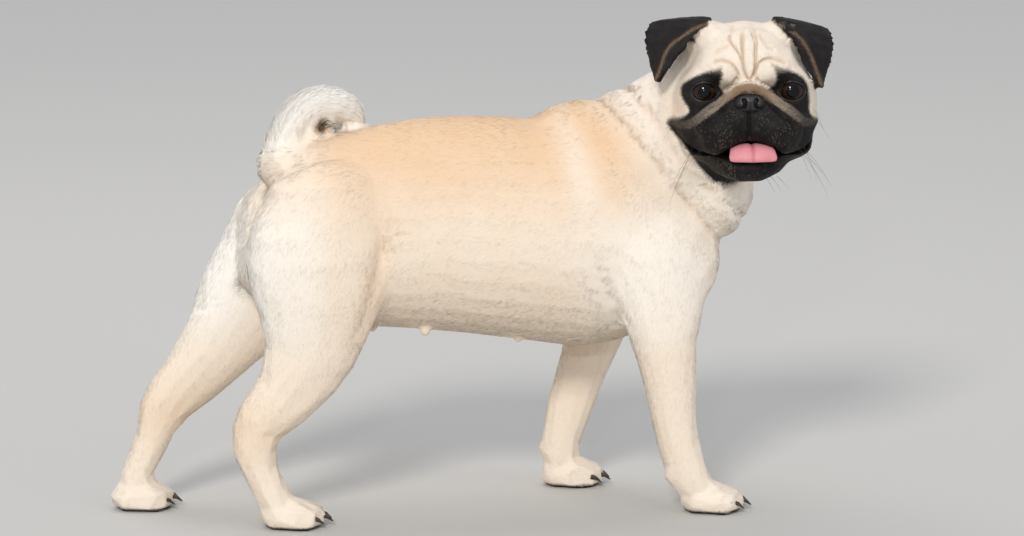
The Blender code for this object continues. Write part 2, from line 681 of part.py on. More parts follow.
def main():
    clear_scene()
    pug, tools = collection("pug"), collection("cutters")
    carver = Carver(tools)

    forms = bmesh.new()
    add_trunk(forms)
    add_loft(forms, NECK, sides=28)
    add_head_forms(forms)
    legs = {
        "fore_right": FORE_RIGHT,
        "fore_left": FORE_LEFT,
        "hind_right": HIND_RIGHT,
        "hind_left": HIND_LEFT,
    }
    for leg in legs.values():
        add_loft(forms, leg.stations, across_axis=(0, 1, 0))
        add_paw(forms, leg)
    for side, forward, height in ((RIGHT, 0.0, 0.205), (LEFT, -0.006, 0.190)):
        add_haunch(forms, side, forward, height)
        add_shoulder(forms, side)
    add_carpal_pads(forms)
    trunk = grown_skin(forms, pug)
    trunk.name = "trunk"

    carver.apply(trunk, carver.tool("floor", block((-0.5, -0.3, -0.1), (0.5, 0.3, 0.0))), "DIFFERENCE")
    tail_form = bmesh.new()
    add_loft(tail_form, TAIL, across_axis=(0, 1, 0), sides=12, steps=3)
    bmesh.ops.recalc_face_normals(tail_form, faces=tail_form.faces)
    tail = largest_body(carver.fit(object_from("tail", tail_form, pug), trunk))
    ears = [
        largest_body(carver.fit(make_ear(name, side, spread, droop, pug), trunk))
        for name, side, spread, droop in (
            ("ear_right", RIGHT, 0.0012, 0.0),
            ("ear_left", LEFT, -0.0025, radians(8)),
        )
    ]

    carver.apply(trunk, carver.tool("mouth", mouth_opening()), "DIFFERENCE")
    tongue = make_tongue(pug)
    eyes = [make_eye(name, side, pug) for name, side in (("eye_right", RIGHT), ("eye_left", LEFT))]
    nose = make_nose(pug, carver)
    claws = [claw for name, leg in legs.items() for claw in make_claws(name, leg, pug)]
    for inset in [tongue, nose, *eyes, *claws]:
        seat = bpy.data.objects.new(inset.name + "_seat", grow(inset.data.copy(), GAP))
        tools.objects.link(seat)
        seat.hide_render = True
        seat.display_type = "WIRE"
        carver.apply(trunk, seat, "DIFFERENCE")
    flesh = [largest_body(carver.part(trunk, name, region, pug)) for name, region in cut_order()]
    flesh.append(largest_body(trunk))
    head = next(piece for piece in flesh if piece.name == "head")
    flesh.append(largest_body(carver.part(head, "lower_jaw", jaw_region, pug)))
    largest_body(head)

    for piece in flesh + [tail]:
        finish(piece, material(piece.name + " coat", (0.80, 0.62, 0.42), 0.8))
    for piece in ears:
        finish(piece, material(piece.name + " velvet", (0.035, 0.028, 0.024), 0.7))
    for piece in eyes:
        finish(piece, material(piece.name + " gloss", (0.020, 0.010, 0.006), 0.08))
    finish(nose, material("nose leather", (0.012, 0.010, 0.010), 0.35))
    finish(tongue, material("tongue flesh", (0.72, 0.26, 0.30), 0.4))
    for claw in claws:
        finish(claw, material(claw.name + " horn", (0.05, 0.04, 0.035), 0.4))
    stand_on_origin(flesh + [tail, tongue, nose] + ears + eyes + claws)


if __name__ == "__main__":
    main()
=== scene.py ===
"""A standing fawn pug at life size: one skin, a short coat in tufts, eyes, nose, tongue and claws."""

import logging
import math
from dataclasses import dataclass, field
from enum import Enum
from typing import Sequence, Union

import bmesh
import bpy
import numpy as np
from mathutils import Matrix, Vector


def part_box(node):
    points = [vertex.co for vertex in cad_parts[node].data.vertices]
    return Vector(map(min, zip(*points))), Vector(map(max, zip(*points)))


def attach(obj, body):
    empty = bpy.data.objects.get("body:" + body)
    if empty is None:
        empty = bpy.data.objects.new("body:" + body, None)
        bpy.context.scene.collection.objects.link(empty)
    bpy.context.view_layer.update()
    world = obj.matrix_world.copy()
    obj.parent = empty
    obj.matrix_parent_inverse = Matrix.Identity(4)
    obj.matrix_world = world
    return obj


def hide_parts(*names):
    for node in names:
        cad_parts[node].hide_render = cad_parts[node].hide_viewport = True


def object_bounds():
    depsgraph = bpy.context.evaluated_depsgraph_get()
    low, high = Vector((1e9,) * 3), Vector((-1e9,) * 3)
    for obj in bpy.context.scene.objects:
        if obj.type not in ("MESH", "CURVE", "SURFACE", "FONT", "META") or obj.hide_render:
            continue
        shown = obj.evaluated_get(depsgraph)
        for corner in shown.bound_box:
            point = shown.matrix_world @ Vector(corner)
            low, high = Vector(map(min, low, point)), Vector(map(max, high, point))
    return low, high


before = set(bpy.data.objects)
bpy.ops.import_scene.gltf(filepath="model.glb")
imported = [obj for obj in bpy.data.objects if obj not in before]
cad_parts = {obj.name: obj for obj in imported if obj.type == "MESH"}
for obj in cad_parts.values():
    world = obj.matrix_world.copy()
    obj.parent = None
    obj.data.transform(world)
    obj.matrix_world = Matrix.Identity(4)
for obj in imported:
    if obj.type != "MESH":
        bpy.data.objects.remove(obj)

CAD_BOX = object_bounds()
MM = 0.001
Array = np.ndarray
Number = Union["Wire", float]
log = logging.getLogger("pug")


# Shader sockets as numbers


class Wire:
    """One output of a material's node, used in sums as if it were a number."""

    def __init__(self, board: "Board", socket: bpy.types.NodeSocket) -> None:
        """Holds the material's board and the socket."""
        self.board = board
        self.socket = socket

    def __add__(self, other: Number) -> "Wire":
        """The sum."""
        return self.board.maths("ADD", self, other)

    def __radd__(self, other: Number) -> "Wire":
        """The sum, with the number first."""
        return self.board.maths("ADD", other, self)

    def __sub__(self, other: Number) -> "Wire":
        """The difference."""
        return self.board.maths("SUBTRACT", self, other)

    def __rsub__(self, other: Number) -> "Wire":
        """The difference, with the number first."""
        return self.board.maths("SUBTRACT", other, self)

    def __mul__(self, other: Number) -> "Wire":
        """The product."""
        return self.board.maths("MULTIPLY", self, other)

    def __rmul__(self, other: Number) -> "Wire":
        """The product, with the number first."""
        return self.board.maths("MULTIPLY", other, self)

    def step(self, low: float, high: float) -> "Wire":
        """A smooth step from 0 at low to 1 at high.

        Args:
            low: The value that gives 0.
            high: The value that gives 1.

        Returns:
            The stepped value.
        """
        settings = {"interpolation_type": "SMOOTHSTEP"}
        node = self.board.node("ShaderNodeMapRange", settings, {0: self, 1: low, 2: high})
        return Wire(self.board, node.outputs[0])


class Board:
    """The node tree of one material, with short calls that add to it."""

    def __init__(self, name: str) -> None:
        """Makes the material with its surface shader.

        Args:
            name: The material's name.
        """
        self.material = bpy.data.materials.new(name)
        self.material.use_nodes = True
        self.tree = self.material.node_tree
        self.tree.nodes.clear()
        self.shader = self.node("ShaderNodeBsdfPrincipled")
        output = self.node("ShaderNodeOutputMaterial")
        self.tree.links.new(self.shader.outputs[0], output.inputs[0])

    def node(self, kind: str, settings: dict | None = None, sockets: dict | None = None) -> bpy.types.Node:
        """Adds a node.

        Args:
            kind: The node's type.
            settings: The node's own settings, put in first.
            sockets: A value or a wire for each named or numbered input.

        Returns:
            The node.
        """
        node = self.tree.nodes.new(kind)
        for name, value in (settings or {}).items():
            setattr(node, name, value)
        for name, value in (sockets or {}).items():
            self.plug(node.inputs[name], value)
        return node

    def plug(self, socket: bpy.types.NodeSocket, value: object) -> None:
        """Links a wire to an input, or sets the input's value.

        Args:
            socket: The input.
            value: The wire or the value.
        """
        if isinstance(value, Wire):
            self.tree.links.new(value.socket, socket)
        else:
            socket.default_value = value

    def maths(self, operation: str, *values: Number) -> Wire:
        """The result of a Math node.

        Args:
            operation: The node's operation.
            values: Its inputs in order.

        Returns:
            The result.
        """
        node = self.node("ShaderNodeMath", {"operation": operation}, dict(enumerate(values)))
        return Wire(self, node.outputs[0])

    def blend(self, factor: Number, first: object, second: object) -> Wire:
        """Two colours mixed.

        Args:
            factor: 0 for the first colour, 1 for the second.
            first: The first colour.
            second: The second colour.

        Returns:
            The mixed colour.
        """
        node = self.node("ShaderNodeMix", {"data_type": "RGBA"}, {0: factor, 6: first, 7: second})
        return Wire(self, node.outputs[2])

    def brighten(self, colour: Wire, amount: Number) -> Wire:
        """A colour made brighter or darker.

        Args:
            colour: The colour.
            amount: What it is multiplied by.

        Returns:
            The new colour.
        """
        node = self.node("ShaderNodeVectorMath", {"operation": "SCALE"}, {0: colour, 3: amount})
        return Wire(self, node.outputs[0])

    def place(self) -> Wire:
        """The place on the object, in metres."""
        return Wire(self, self.node("ShaderNodeTexCoord").outputs["Object"])

    def reading(self, name: str) -> tuple[Wire, Wire, Wire, Wire]:
        """The four channels of an attribute.

        Args:
            name: The attribute's name.

        Returns:
            Red, green, blue and alpha.
        """
        source = self.node("ShaderNodeAttribute", {"attribute_name": name})
        parts = self.node("ShaderNodeSeparateColor", None, {0: Wire(self, source.outputs["Color"])})
        red, green, blue = (Wire(self, parts.outputs[k]) for k in range(3))
        return red, green, blue, Wire(self, source.outputs["Alpha"])

    def noise(self, scale: float, detail: float, where: Wire, roughness: float = 0.5) -> Wire:
        """A cloudy pattern from 0 to 1.

        Args:
            scale: How many lumps there are to a metre.
            detail: How many finer layers it has.
            where: The place it is read at.
            roughness: How strong the finer layers are.

        Returns:
            The pattern's value.
        """
        sockets = {"Vector": where, "Scale": scale, "Detail": detail, "Roughness": roughness}
        return Wire(self, self.node("ShaderNodeTexNoise", None, sockets).outputs[0])

    def cells(self, scale: float, where: Wire) -> Wire:
        """The distance to the nearest of many scattered points, for pebbled leather.

        Args:
            scale: How many cells there are to a metre.
            where: The place it is read at.

        Returns:
            The distance, 0 at each point.
        """
        node = self.node("ShaderNodeTexVoronoi", None, {"Vector": where, "Scale": scale})
        return Wire(self, node.outputs[0])

    def bump(self, height: Wire, distance: float, strength: float = 1.0) -> None:
        """Lets a height stand out in the light.

        Args:
            height: The height, from 0 to 1.
            distance: How high 1 is, in metres.
            strength: How much of it shows.
        """
        sockets = {"Height": height, "Distance": distance, "Strength": strength}
        node = self.node("ShaderNodeBump", None, sockets)
        self.tree.links.new(node.outputs[0], self.shader.inputs["Normal"])

    def finish(self, **values: object) -> bpy.types.Material:
        """Sets the shader's inputs.

        Args:
            values: The inputs' names, with underscores for spaces, and their values or wires.

        Returns:
            The material.
        """
        for name, value in values.items():
            self.plug(self.shader.inputs[name.replace("_", " ")], value)
        return self.material


def paint(red: float, green: float, blue: float) -> tuple[float, float, float, float]:
    """A colour as the shader wants it.

    Args:
        red: Red as a screen shows it, from 0 to 255.
        green: Green in the same way.
        blue: Blue in the same way.

    Returns:
        The colour in linear light, with alpha 1.
    """
    parts = [value / 255 for value in (red, green, blue)]
    return (*[v / 12.92 if v < 0.04045 else ((v + 0.055) / 1.055) ** 2.4 for v in parts], 1.0)


# Finishes


@dataclass(frozen=True)
class CoatFinish:
    """Short fawn fur with a black mask, for the skin and for the tufts over it."""

    fawn: tuple = paint(236, 219, 198)
    apricot: tuple = paint(221, 181, 137)
    pale: tuple = paint(246, 240, 230)
    black: tuple = paint(20, 16, 15)
    soot: tuple = paint(104, 93, 84)
    roll: tuple = paint(134, 106, 79)
    crease: tuple = paint(186, 138, 92)

    def material(self, name: str, tufts: bool) -> bpy.types.Material:
        """Makes the material.

        The colour goes from fawn to apricot, pale, crease tan, roll tan and black by the marks painted on
        the mesh. Some marks are painted shade: on the belly, in the tail's curl, under the tail, behind the
        thigh and under the ears' flaps. The ears' roll tan is partly a painted sheen and highlight. Each
        tuft is a little lighter or darker than the next, and darker at its root.

        Args:
            name: The material's name.
            tufts: Whether it is for tufts instead of the skin under them.

        Returns:
            The material.
        """
        board = Board(name)
        where = board.place()
        dark, gold, roll, crease = board.reading("marks")
        tint, tip, pale, head = board.reading("strand")
        cloud = board.noise(38.0, 3.0, where)
        colour = board.blend((gold + (cloud - 0.5) * 0.30).step(0.0, 1.0), self.fawn, self.apricot)
        colour = board.blend(pale.step(0.0, 1.0), colour, self.pale)
        colour = board.blend(crease * 0.85, colour, self.crease)
        # The roll tan, also the ears' brown with its painted sheen and highlight.
        colour = board.blend(roll, colour, self.roll)
        patches = board.noise(140.0, 3.0, where).step(0.35, 0.75)
        if tufts:
            grizzle = (tint - 0.96 + patches * 0.09 + pale * 0.42).step(0.0, 0.14) * 0.85
        else:
            grizzle = patches * 0.06
        # Black, also the painted shade in the tail's curl, under the tail, behind the thigh and under the
        # ears' flaps.
        black = board.blend(grizzle, self.black, self.soot)
        speckle = (board.noise(900.0, 2.0, where) - 0.5) * 0.55
        colour = board.blend((dark + speckle * dark * (1.0 - dark) * 4.0).step(0.10, 0.90), colour, black)
        if tufts:
            colour = board.brighten(colour, 0.94 + tint * 0.10 + tip * 0.04)
        else:
            streak = self.streaks(board, where, tint, head)
            colour = board.brighten(colour, 0.94 + streak * 0.11)
            board.bump(streak, 0.0004, 0.7)
        return board.finish(
            Base_Color=colour,
            Roughness=0.80 - dark * 0.20,
            Specular_IOR_Level=0.22,
            Sheen_Weight=0.02,
            Sheen_Roughness=0.5,
        )

    def streaks(self, board: Board, where: Wire, upright: Wire, head: Wire) -> Wire:
        """Fine hair pressed flat: a pattern drawn out along the body, down the legs, or short on the head.

        Args:
            board: The material's board.
            where: The place it is read at.
            upright: How far the hair lies down a leg instead of along the body.
            head: How far it is the head's short hair.

        Returns:
            The pattern from 0 to 1.
        """
        turned = []
        for scale, turn in (((230.0, 1300.0, 1300.0), 0.40), ((1300.0, 1300.0, 240.0), 0.15)):
            settings = {"Vector": where, "Rotation": (0.0, -turn, 0.0), "Scale": scale}
            mapped = board.node("ShaderNodeMapping", None, settings)
            turned.append(board.noise(1.0, 3.0, Wire(board, mapped.outputs[0]), 0.6))
        along = turned[0] * (1.0 - upright) + turned[1] * upright
        return along * (1.0 - head) + board.noise(1500.0, 3.0, where, 0.6) * head


@dataclass(frozen=True)
class EyeFinish:
    """A dark brown eye under a clear wet cornea."""

    pupil: tuple = paint(4, 4, 4)
    brown: tuple = paint(22, 12, 8)
    amber: tuple = paint(47, 29, 19)
    ring: tuple = paint(8, 5, 4)
    white: tuple = paint(52, 38, 34)
    pupil_edge: float = 0.46
    iris_edge: float = 0.82

    def material(self, name: str) -> bpy.types.Material:
        """Makes the material.

        The colour goes by the angle from the line of sight: black pupil, brown iris with fine spokes, dark
        ring and dull white. The iris is lighter low down, where light comes through it.

        Args:
            name: The material's name.

        Returns:
            The material.
        """
        board = Board(name)
        across, up, angle, _ = board.reading("gaze")
        vector = board.node("ShaderNodeCombineXYZ", None, {0: across * 26.0, 1: up * 26.0, 2: angle * 1.5})
        spokes = board.noise(1.0, 3.0, Wire(board, vector.outputs[0]))
        low = (0.62 - up).step(0.0, 0.55)
        iris = board.blend((spokes * 0.6 + low * 0.75 - 0.30).step(0.0, 1.0), self.brown, self.amber)
        iris = board.blend(angle.step(self.iris_edge - 0.14, self.iris_edge), iris, self.ring)
        colour = board.blend(angle.step(self.pupil_edge - 0.03, self.pupil_edge + 0.04), self.pupil, iris)
        colour = board.blend(angle.step(self.iris_edge, self.iris_edge + 0.10), colour, self.white)
        return board.finish(
            Base_Color=colour,
            Roughness=0.6,
            Specular_IOR_Level=0.05,
            Coat_Weight=1.0,
            Coat_Roughness=0.02,
            Coat_IOR=1.3,
        )


@dataclass(frozen=True)
class LeatherFinish:
    """Black pebbled skin of the nose and the lids' edges."""

    tone: tuple = paint(34, 31, 31)
    light: tuple = paint(70, 64, 62)
    grain: float = 1300.0
    wet: float = 0.30

    def material(self, name: str) -> bpy.types.Material:
        """Makes the material: fine cells raise the surface, their tops are a little greyer,
        and the nostrils are painted near black inside, a painted shade.

        Args:
            name: The material's name.

        Returns:
            The material.
        """
        board = Board(name)
        where = board.place()
        pebble = board.cells(self.grain, where)
        cloud = board.noise(260.0, 3.0, where)
        hole, _, _, _ = board.reading("hole")
        colour = board.blend((cloud - pebble * 0.7).step(0.1, 0.7) * 0.6, self.tone, self.light)
        # The nostrils' insides are painted near black: painted shade.
        colour = board.brighten(colour, 1.0 - hole * 0.93)
        board.bump(1.0 - pebble, 0.0003, 0.8)
        return board.finish(
            Base_Color=colour, Roughness=0.34 + cloud * 0.22, Coat_Weight=self.wet, Coat_Roughness=0.18
        )


@dataclass(frozen=True)
class TongueFinish:
    """Wet pink tongue with fine buds."""

    pink: tuple = paint(216, 138, 144)
    rose: tuple = paint(192, 110, 118)

    def material(self, name: str) -> bpy.types.Material:
        """Makes the material: soft clouds of rose in the pink, painted shade of rose along the middle
        groove, and fine raised buds.

        Args:
            name: The material's name.

        Returns:
            The material.
        """
        board = Board(name)
        where = board.place()
        groove, _, _, _ = board.reading("groove")
        cloud = board.noise(150.0, 3.0, where)
        # Rose along the middle groove is painted shade.
        colour = board.blend(((cloud - 0.45) * 1.6 + groove * 0.8).step(0.0, 1.0), self.pink, self.rose)
        buds = board.cells(1500.0, where)
        board.bump(1.0 - buds, 0.00018, 0.7)
        return board.finish(
            Base_Color=colour, Roughness=0.52 + cloud * 0.10, Coat_Weight=0.12, Coat_Roughness=0.30
        )


@dataclass(frozen=True)
class HornFinish:
    """Dark horn of the claws, with paler streaks."""

    dark: tuple = paint(44, 37, 33)
    pale: tuple = paint(112, 92, 76)

    def material(self, name: str) -> bpy.types.Material:
        """Makes the material: lengthwise streaks of dark and paler horn with a fine grain.

        Args:
            name: The material's name.

        Returns:
            The material.
        """
        board = Board(name)
        where = board.place()
        turned = board.node("ShaderNodeMapping", None, {"Vector": where, "Scale": (150.0, 900.0, 700.0)})
        streak = board.noise(1.0, 3.0, Wire(board, turned.outputs[0]))
        colour = board.blend(streak.step(0.35, 0.85) * 0.7, self.dark, self.pale)
        board.bump(streak, 0.0001, 0.6)
        return board.finish(Base_Color=colour, Roughness=0.36 + streak * 0.16, Coat_Weight=0.2)


@dataclass(frozen=True)
class FloorFinish:
    """Plain pale studio floor."""

    tone: tuple = paint(196, 194, 189)
    light: tuple = paint(202, 200, 195)

    def material(self, name: str) -> bpy.types.Material:
        """Makes the material: one pale tone with the faintest clouding.

        Args:
            name: The material's name.

        Returns:
            The material.
        """
        board = Board(name)
        cloud = board.noise(1.2, 2.0, board.place())
        return board.finish(Base_Color=board.blend(cloud * 0.2, self.tone, self.light), Roughness=0.85)


# Shapes from arrays


def smoothstep(value: Array, low: float, high: float) -> Array:
    """A smooth step from 0 at low to 1 at high, the cubic 3t^2 - 2t^3 of the clamped fraction t.

    Args:
        value: The values.
        low: The value that gives 0.
        high: The value that gives 1.

    Returns:
        The stepped values.
    """
    t = np.clip((value - low) / (high - low), 0.0, 1.0)
    return t * t * (3.0 - 2.0 * t)


def unit(vectors: Array) -> Array:
    """Each vector divided by its length."""
    return vectors / np.maximum(np.linalg.norm(vectors, axis=-1, keepdims=True), 1e-12)


def smooth_line(points: Sequence, steps: int = 6) -> Array:
    """A rounded line through a few points, by the Catmull-Rom cubic of each four neighbours.

    Args:
        points: The points.
        steps: How many short runs replace each long one.

    Returns:
        The line's points.
    """
    p = np.asarray(points, float)
    far = np.vstack([2 * p[0] - p[1], p, 2 * p[-1] - p[-2]])
    t = np.linspace(0, 1, steps, endpoint=False)[:, None]
    runs = []
    for k in range(len(p) - 1):
        a, b, c, d = far[k : k + 4]
        cubic = (-a + 3 * b - 3 * c + d) * t**3
        runs.append(0.5 * (2 * b + (c - a) * t + (2 * a - 5 * b + 4 * c - d) * t**2 + cubic))
    return np.vstack(runs + [p[-1:]])


def from_line(points: Array, line: Array) -> tuple[Array, Array]:
    """How far each point is from a line of short runs, and how far along it the nearest place is.

    Args:
        points: The points, one to a row.
        line: The line's points in the same coordinates.

    Returns:
        The distances, and the fractions of the line's length from 0 to 1.
    """
    start = line[:-1]
    run = line[1:] - start
    size = np.maximum((run * run).sum(1), 1e-12)
    t = np.clip(((points[:, None] - start) * run).sum(2) / size, 0, 1)
    gap = np.linalg.norm(points[:, None] - start - t[..., None] * run, axis=2)
    best = gap.argmin(1)
    rows = np.arange(len(points))
    reach = np.concatenate([[0.0], np.cumsum(np.sqrt(size))])
    along = reach[best] + t[rows, best] * np.sqrt(size)[best]
    return gap[rows, best], along / reach[-1]


def inside_outline(points: Array, outline: Array) -> Array:
    """How far each point lies inside a closed flat outline, negative outside it.

    A point is inside where a level line from it crosses the outline an odd number of times.

    Args:
        points: The points, two numbers to a row.
        outline: The outline's corners in order.

    Returns:
        The signed distances.
    """
    closed = np.vstack([outline, outline[:1]])
    gap, _ = from_line(points, closed)
    a = closed[:-1]
    b = closed[1:]
    x = points[:, :1]
    y = points[:, 1:]
    spans = (a[:, 1] > y) != (b[:, 1] > y)
    rise = np.where(np.abs(b[:, 1] - a[:, 1]) < 1e-12, 1e-12, b[:, 1] - a[:, 1])
    hits = spans & (x < a[:, 0] + (y - a[:, 1]) / rise * (b[:, 0] - a[:, 0]))
    return np.where(hits.sum(1) % 2 == 1, gap, -gap)


def hump(distance: Array, width: float) -> Array:
    """A bell that is 1 at no distance and falls by the square of distance over width."""
    return np.exp(-((distance / width) ** 2))


def gap_to(points: Array, place: Sequence) -> Array:
    """How far each point is from a place."""
    return np.linalg.norm(points - np.array(place), axis=1)


def make_mesh(name: str, points: Array, faces: Array) -> bpy.types.Object:
    """Puts points and triangles or squares into a new smooth object.

    Args:
        name: The object's name.
        points: The points, one to a row.
        faces: Three or four point numbers to a row.

    Returns:
        The object, linked to the scene.
    """
    mesh = bpy.data.meshes.new(name)
    sides = faces.shape[1]
    mesh.vertices.add(len(points))
    mesh.vertices.foreach_set("co", np.ascontiguousarray(points, np.float32).ravel())
    mesh.loops.add(faces.size)
    mesh.loops.foreach_set("vertex_index", np.ascontiguousarray(faces, np.int32).ravel())
    mesh.polygons.add(len(faces))
    mesh.polygons.foreach_set("loop_start", np.arange(0, faces.size, sides, dtype=np.int32))
    mesh.update(calc_edges=True)
    mesh.validate()
    mesh.shade_smooth()
    piece = bpy.data.objects.new(name, mesh)
    bpy.context.scene.collection.objects.link(piece)
    return piece


def mesh_arrays(mesh: bpy.types.Mesh) -> tuple[Array, Array]:
    """A mesh's points, and its faces where they all have as many corners.

    Args:
        mesh: The mesh.

    Returns:
        The points and the faces.
    """
    points = np.empty(len(mesh.vertices) * 3, np.float32)
    mesh.vertices.foreach_get("co", points)
    faces = np.empty(len(mesh.loops), np.int32)
    mesh.loops.foreach_get("vertex_index", faces)
    sides = len(mesh.loops) // len(mesh.polygons)
    return points.reshape(-1, 3).astype(float), faces.reshape(-1, sides)


def paint_points(piece: bpy.types.Object, name: str, values: Array) -> None:
    """Stores four numbers for each point of a mesh as an attribute.

    Args:
        piece: The object.
        name: The attribute's name.
        values: Four numbers to a row.
    """
    layer = piece.data.color_attributes.new(name, "FLOAT_COLOR", "POINT")
    layer.data.foreach_set("color", np.ascontiguousarray(values, np.float32).ravel())


def round_grid(rows: Array) -> tuple[Array, Array]:
    """Closes a grid of rings into a solid skin.

    The first and the last ring are drawn together into one point each, and each ring meets itself.

    Args:
        rows: The rings, each a row of points.

    Returns:
        The points and the triangles.
    """
    count, around = rows.shape[:2]
    inner = rows[1:-1].reshape(-1, 3)
    points = np.vstack([inner, rows[0].mean(0), rows[-1].mean(0)])
    ring = np.arange(around)
    after = (ring + 1) % around
    start = (np.arange(count - 3) * around)[:, None]
    a, b = start + ring, start + after
    first = np.stack([a, b, b + around], 2).reshape(-1, 3)
    second = np.stack([a, b + around, a + around], 2).reshape(-1, 3)
    top = np.stack([after, ring, np.full(around, len(inner))], 1)
    last = (count - 3) * around
    end = np.stack([last + ring, last + after, np.full(around, len(inner) + 1)], 1)
    return points, np.vstack([first, second, top, end])


def tube_along(path: Array, radii: Array, sides: int) -> Array:
    """Rings of points round a path, each square to the path there.

    A ring's point is the path's point plus cosine and sine of its angle along two square directions.

    Args:
        path: The path's points.
        radii: The radius at each of them.
        sides: How many points a ring has.

    Returns:
        The rings.
    """
    ahead = unit(np.gradient(path, axis=0))
    across = unit(np.cross(ahead, [0.13, 0.27, 0.95]))
    up = np.cross(across, ahead)
    angle = np.linspace(0, 2 * np.pi, sides, endpoint=False)[None, :, None]
    spread = np.cos(angle) * across[:, None] + np.sin(angle) * up[:, None]
    return path[:, None] + radii[:, None, None] * spread


def ball_directions(rings: int, around: int) -> Array:
    """Unit directions on a grid, by the angle from the first axis and the angle round it.

    Args:
        rings: How many rings there are from pole to pole.
        around: How many points a ring has.

    Returns:
        The directions, one ring to a row.
    """
    tilt = np.linspace(0, np.pi, rings)[:, None]
    turn = np.linspace(0, 2 * np.pi, around, endpoint=False)[None]
    ring = np.sin(tilt)
    return np.stack(np.broadcast_arrays(np.cos(tilt), ring * np.cos(turn), ring * np.sin(turn)), 2)


def outward(points: Array, faces: Array) -> Array:
    """The triangles, turned round where the solid they close would be inside out.

    Args:
        points: The solid's points.
        faces: Its triangles.

    Returns:
        The triangles, facing outwards.
    """
    a, b, c = (points[faces[:, k]] for k in range(3))
    volume = (np.cross(a, b) * c).sum()
    return faces if volume > 0 else faces[:, ::-1]


# The dog's own measures


class Zone(Enum):
    """A part of the body that has its own kind of coat, by the first words of its nodes' names."""

    HEAD = ("head", "lower_jaw")
    EAR = ("ear",)
    NECK = ("neck",)
    TRUNK = ("trunk",)
    TAIL = ("tail",)
    UPPER = ("upper_foreleg", "thigh")
    LOWER = ("forearm", "lower_leg", "metatarsus")
    PAW = ("forepaw", "hindpaw")


class Side(Enum):
    """The dog's right or left, as a sign across its head."""

    RIGHT = -1
    LEFT = 1


@dataclass(frozen=True)
class HeadAxes:
    """The head's own axes: first out of the face, second to the dog's left, third up.

    The face's lines are given as they are seen from the front: across and up, in millimetres from the
    middle between the eyes. A place further out of the face is seen a little to the left and lower.
    """

    middle: tuple = (0.18099, -0.07419, 0.3078)
    yaw: float = -100.0
    lift: float = 4.0
    roll: float = 0.3
    shift_across: float = 0.082
    shift_up: float = -0.061

    def turn(self) -> Array:
        """The axes as the columns of a matrix."""
        yaw = Matrix.Rotation(math.radians(self.yaw), 3, "Z")
        lift = Matrix.Rotation(-math.radians(self.lift), 3, "Y")
        roll = Matrix.Rotation(math.radians(self.roll), 3, "X")
        return np.array(yaw @ lift @ roll)

    def inside(self, points: Array) -> Array:
        """Places of the model in the head's axes."""
        return (points - np.array(self.middle)) @ self.turn()

    def outside(self, local: Array) -> Array:
        """Places in the head's axes as places of the model."""
        return np.asarray(local, float) @ self.turn().T + np.array(self.middle)

    def seen(self, points: Array) -> Array:
        """Where places of the model are seen on the face, across and up, in millimetres."""
        local = self.inside(points)
        across = local[:, 1] + self.shift_across * local[:, 0]
        up = local[:, 2] + self.shift_up * local[:, 0]
        return np.stack([across, up], 1) / MM


HEAD = HeadAxes()
EYE_RADIUS = 0.0103
EYE_SPREAD = 0.0303
EYE_DEPTH = 0.0095
TAIL_LINE = (
    (-0.114, 0.024, 0.236),
    (-0.130, 0.024, 0.254),
    (-0.128, 0.024, 0.273),
    (-0.119, 0.025, 0.288),
    (-0.104, 0.027, 0.295),
    (-0.087, 0.032, 0.291),
    (-0.078, 0.042, 0.281),
    (-0.084, 0.054, 0.277),
    (-0.098, 0.060, 0.281),
)
TAIL_EYE = np.array((-0.107, 0.022, 0.278))
NECK_AXIS = np.array((0.748, -0.040, 0.660))
DEEP_FOLD = 0.1462
SOFT_FOLD = 0.1262
AIM = np.array((0.03379, 0.02431, 0.172))
FLOOR_GAP = 0.0001


def head_solid(name: str, local: Array) -> bpy.types.Object:
    """Closes rings that are given in the head's axes into a solid piece.

    Args:
        name: The piece's name.
        local: The rings, each a row of points.

    Returns:
        The piece.
    """
    points, faces = round_grid(HEAD.outside(local.reshape(-1, 3)).reshape(local.shape))
    return make_mesh(name, points, outward(points, faces))


def neck_rings(points: Array) -> tuple[Array, Array]:
    """How far places lie along the neck from its two folds, rings that sag towards the throat.

    Args:
        points: The places.

    Returns:
        The distances from the deep fold behind the head and from the soft one behind it.
    """
    ring = (points - AIM) @ NECK_AXIS
    low = smoothstep(0.300 - points[:, 2], 0.0, 0.10)
    return ring - (DEEP_FOLD - 0.0085 * np.sin(np.pi * low)), ring - (SOFT_FOLD - 0.0050 * low)


def is_flesh(name: str) -> bool:
    """Whether a node is covered by the skin."""
    return any(name.startswith(zone.value) for zone in Zone)


def node_surface(name: str) -> tuple[Array, Array]:
    """A CAD node's points, merged where they meet, and its triangles.

    Args:
        name: The node's name.

    Returns:
        The points and the triangles.
    """
    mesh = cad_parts[name].data
    mesh.calc_loop_triangles()
    raw = np.empty(len(mesh.vertices) * 3, np.float32)
    mesh.vertices.foreach_get("co", raw)
    corners = np.empty(len(mesh.loop_triangles) * 3, np.int32)
    mesh.loop_triangles.foreach_get("vertices", corners)
    raw = raw.reshape(-1, 3).astype(float)
    _, first, same = np.unique(np.round(raw * 1e6), axis=0, return_index=True, return_inverse=True)
    faces = same.ravel()[corners].reshape(-1, 3)
    real = (faces[:, 0] != faces[:, 1]) & (faces[:, 1] != faces[:, 2]) & (faces[:, 0] != faces[:, 2])
    return raw[first], faces[real]


def point_normals(points: Array, faces: Array) -> Array:
    """The direction out of the surface at each point, the area-weighted mean of its faces' directions.

    Args:
        points: The points.
        faces: Triangles.

    Returns:
        Unit directions.
    """
    a, b, c = (points[faces[:, k]] for k in range(3))
    slope = np.cross(b - a, c - a)
    total = np.zeros_like(points)
    for axis in range(3):
        for corner in range(3):
            total[:, axis] += np.bincount(faces[:, corner], slope[:, axis], len(points))
    return unit(total)


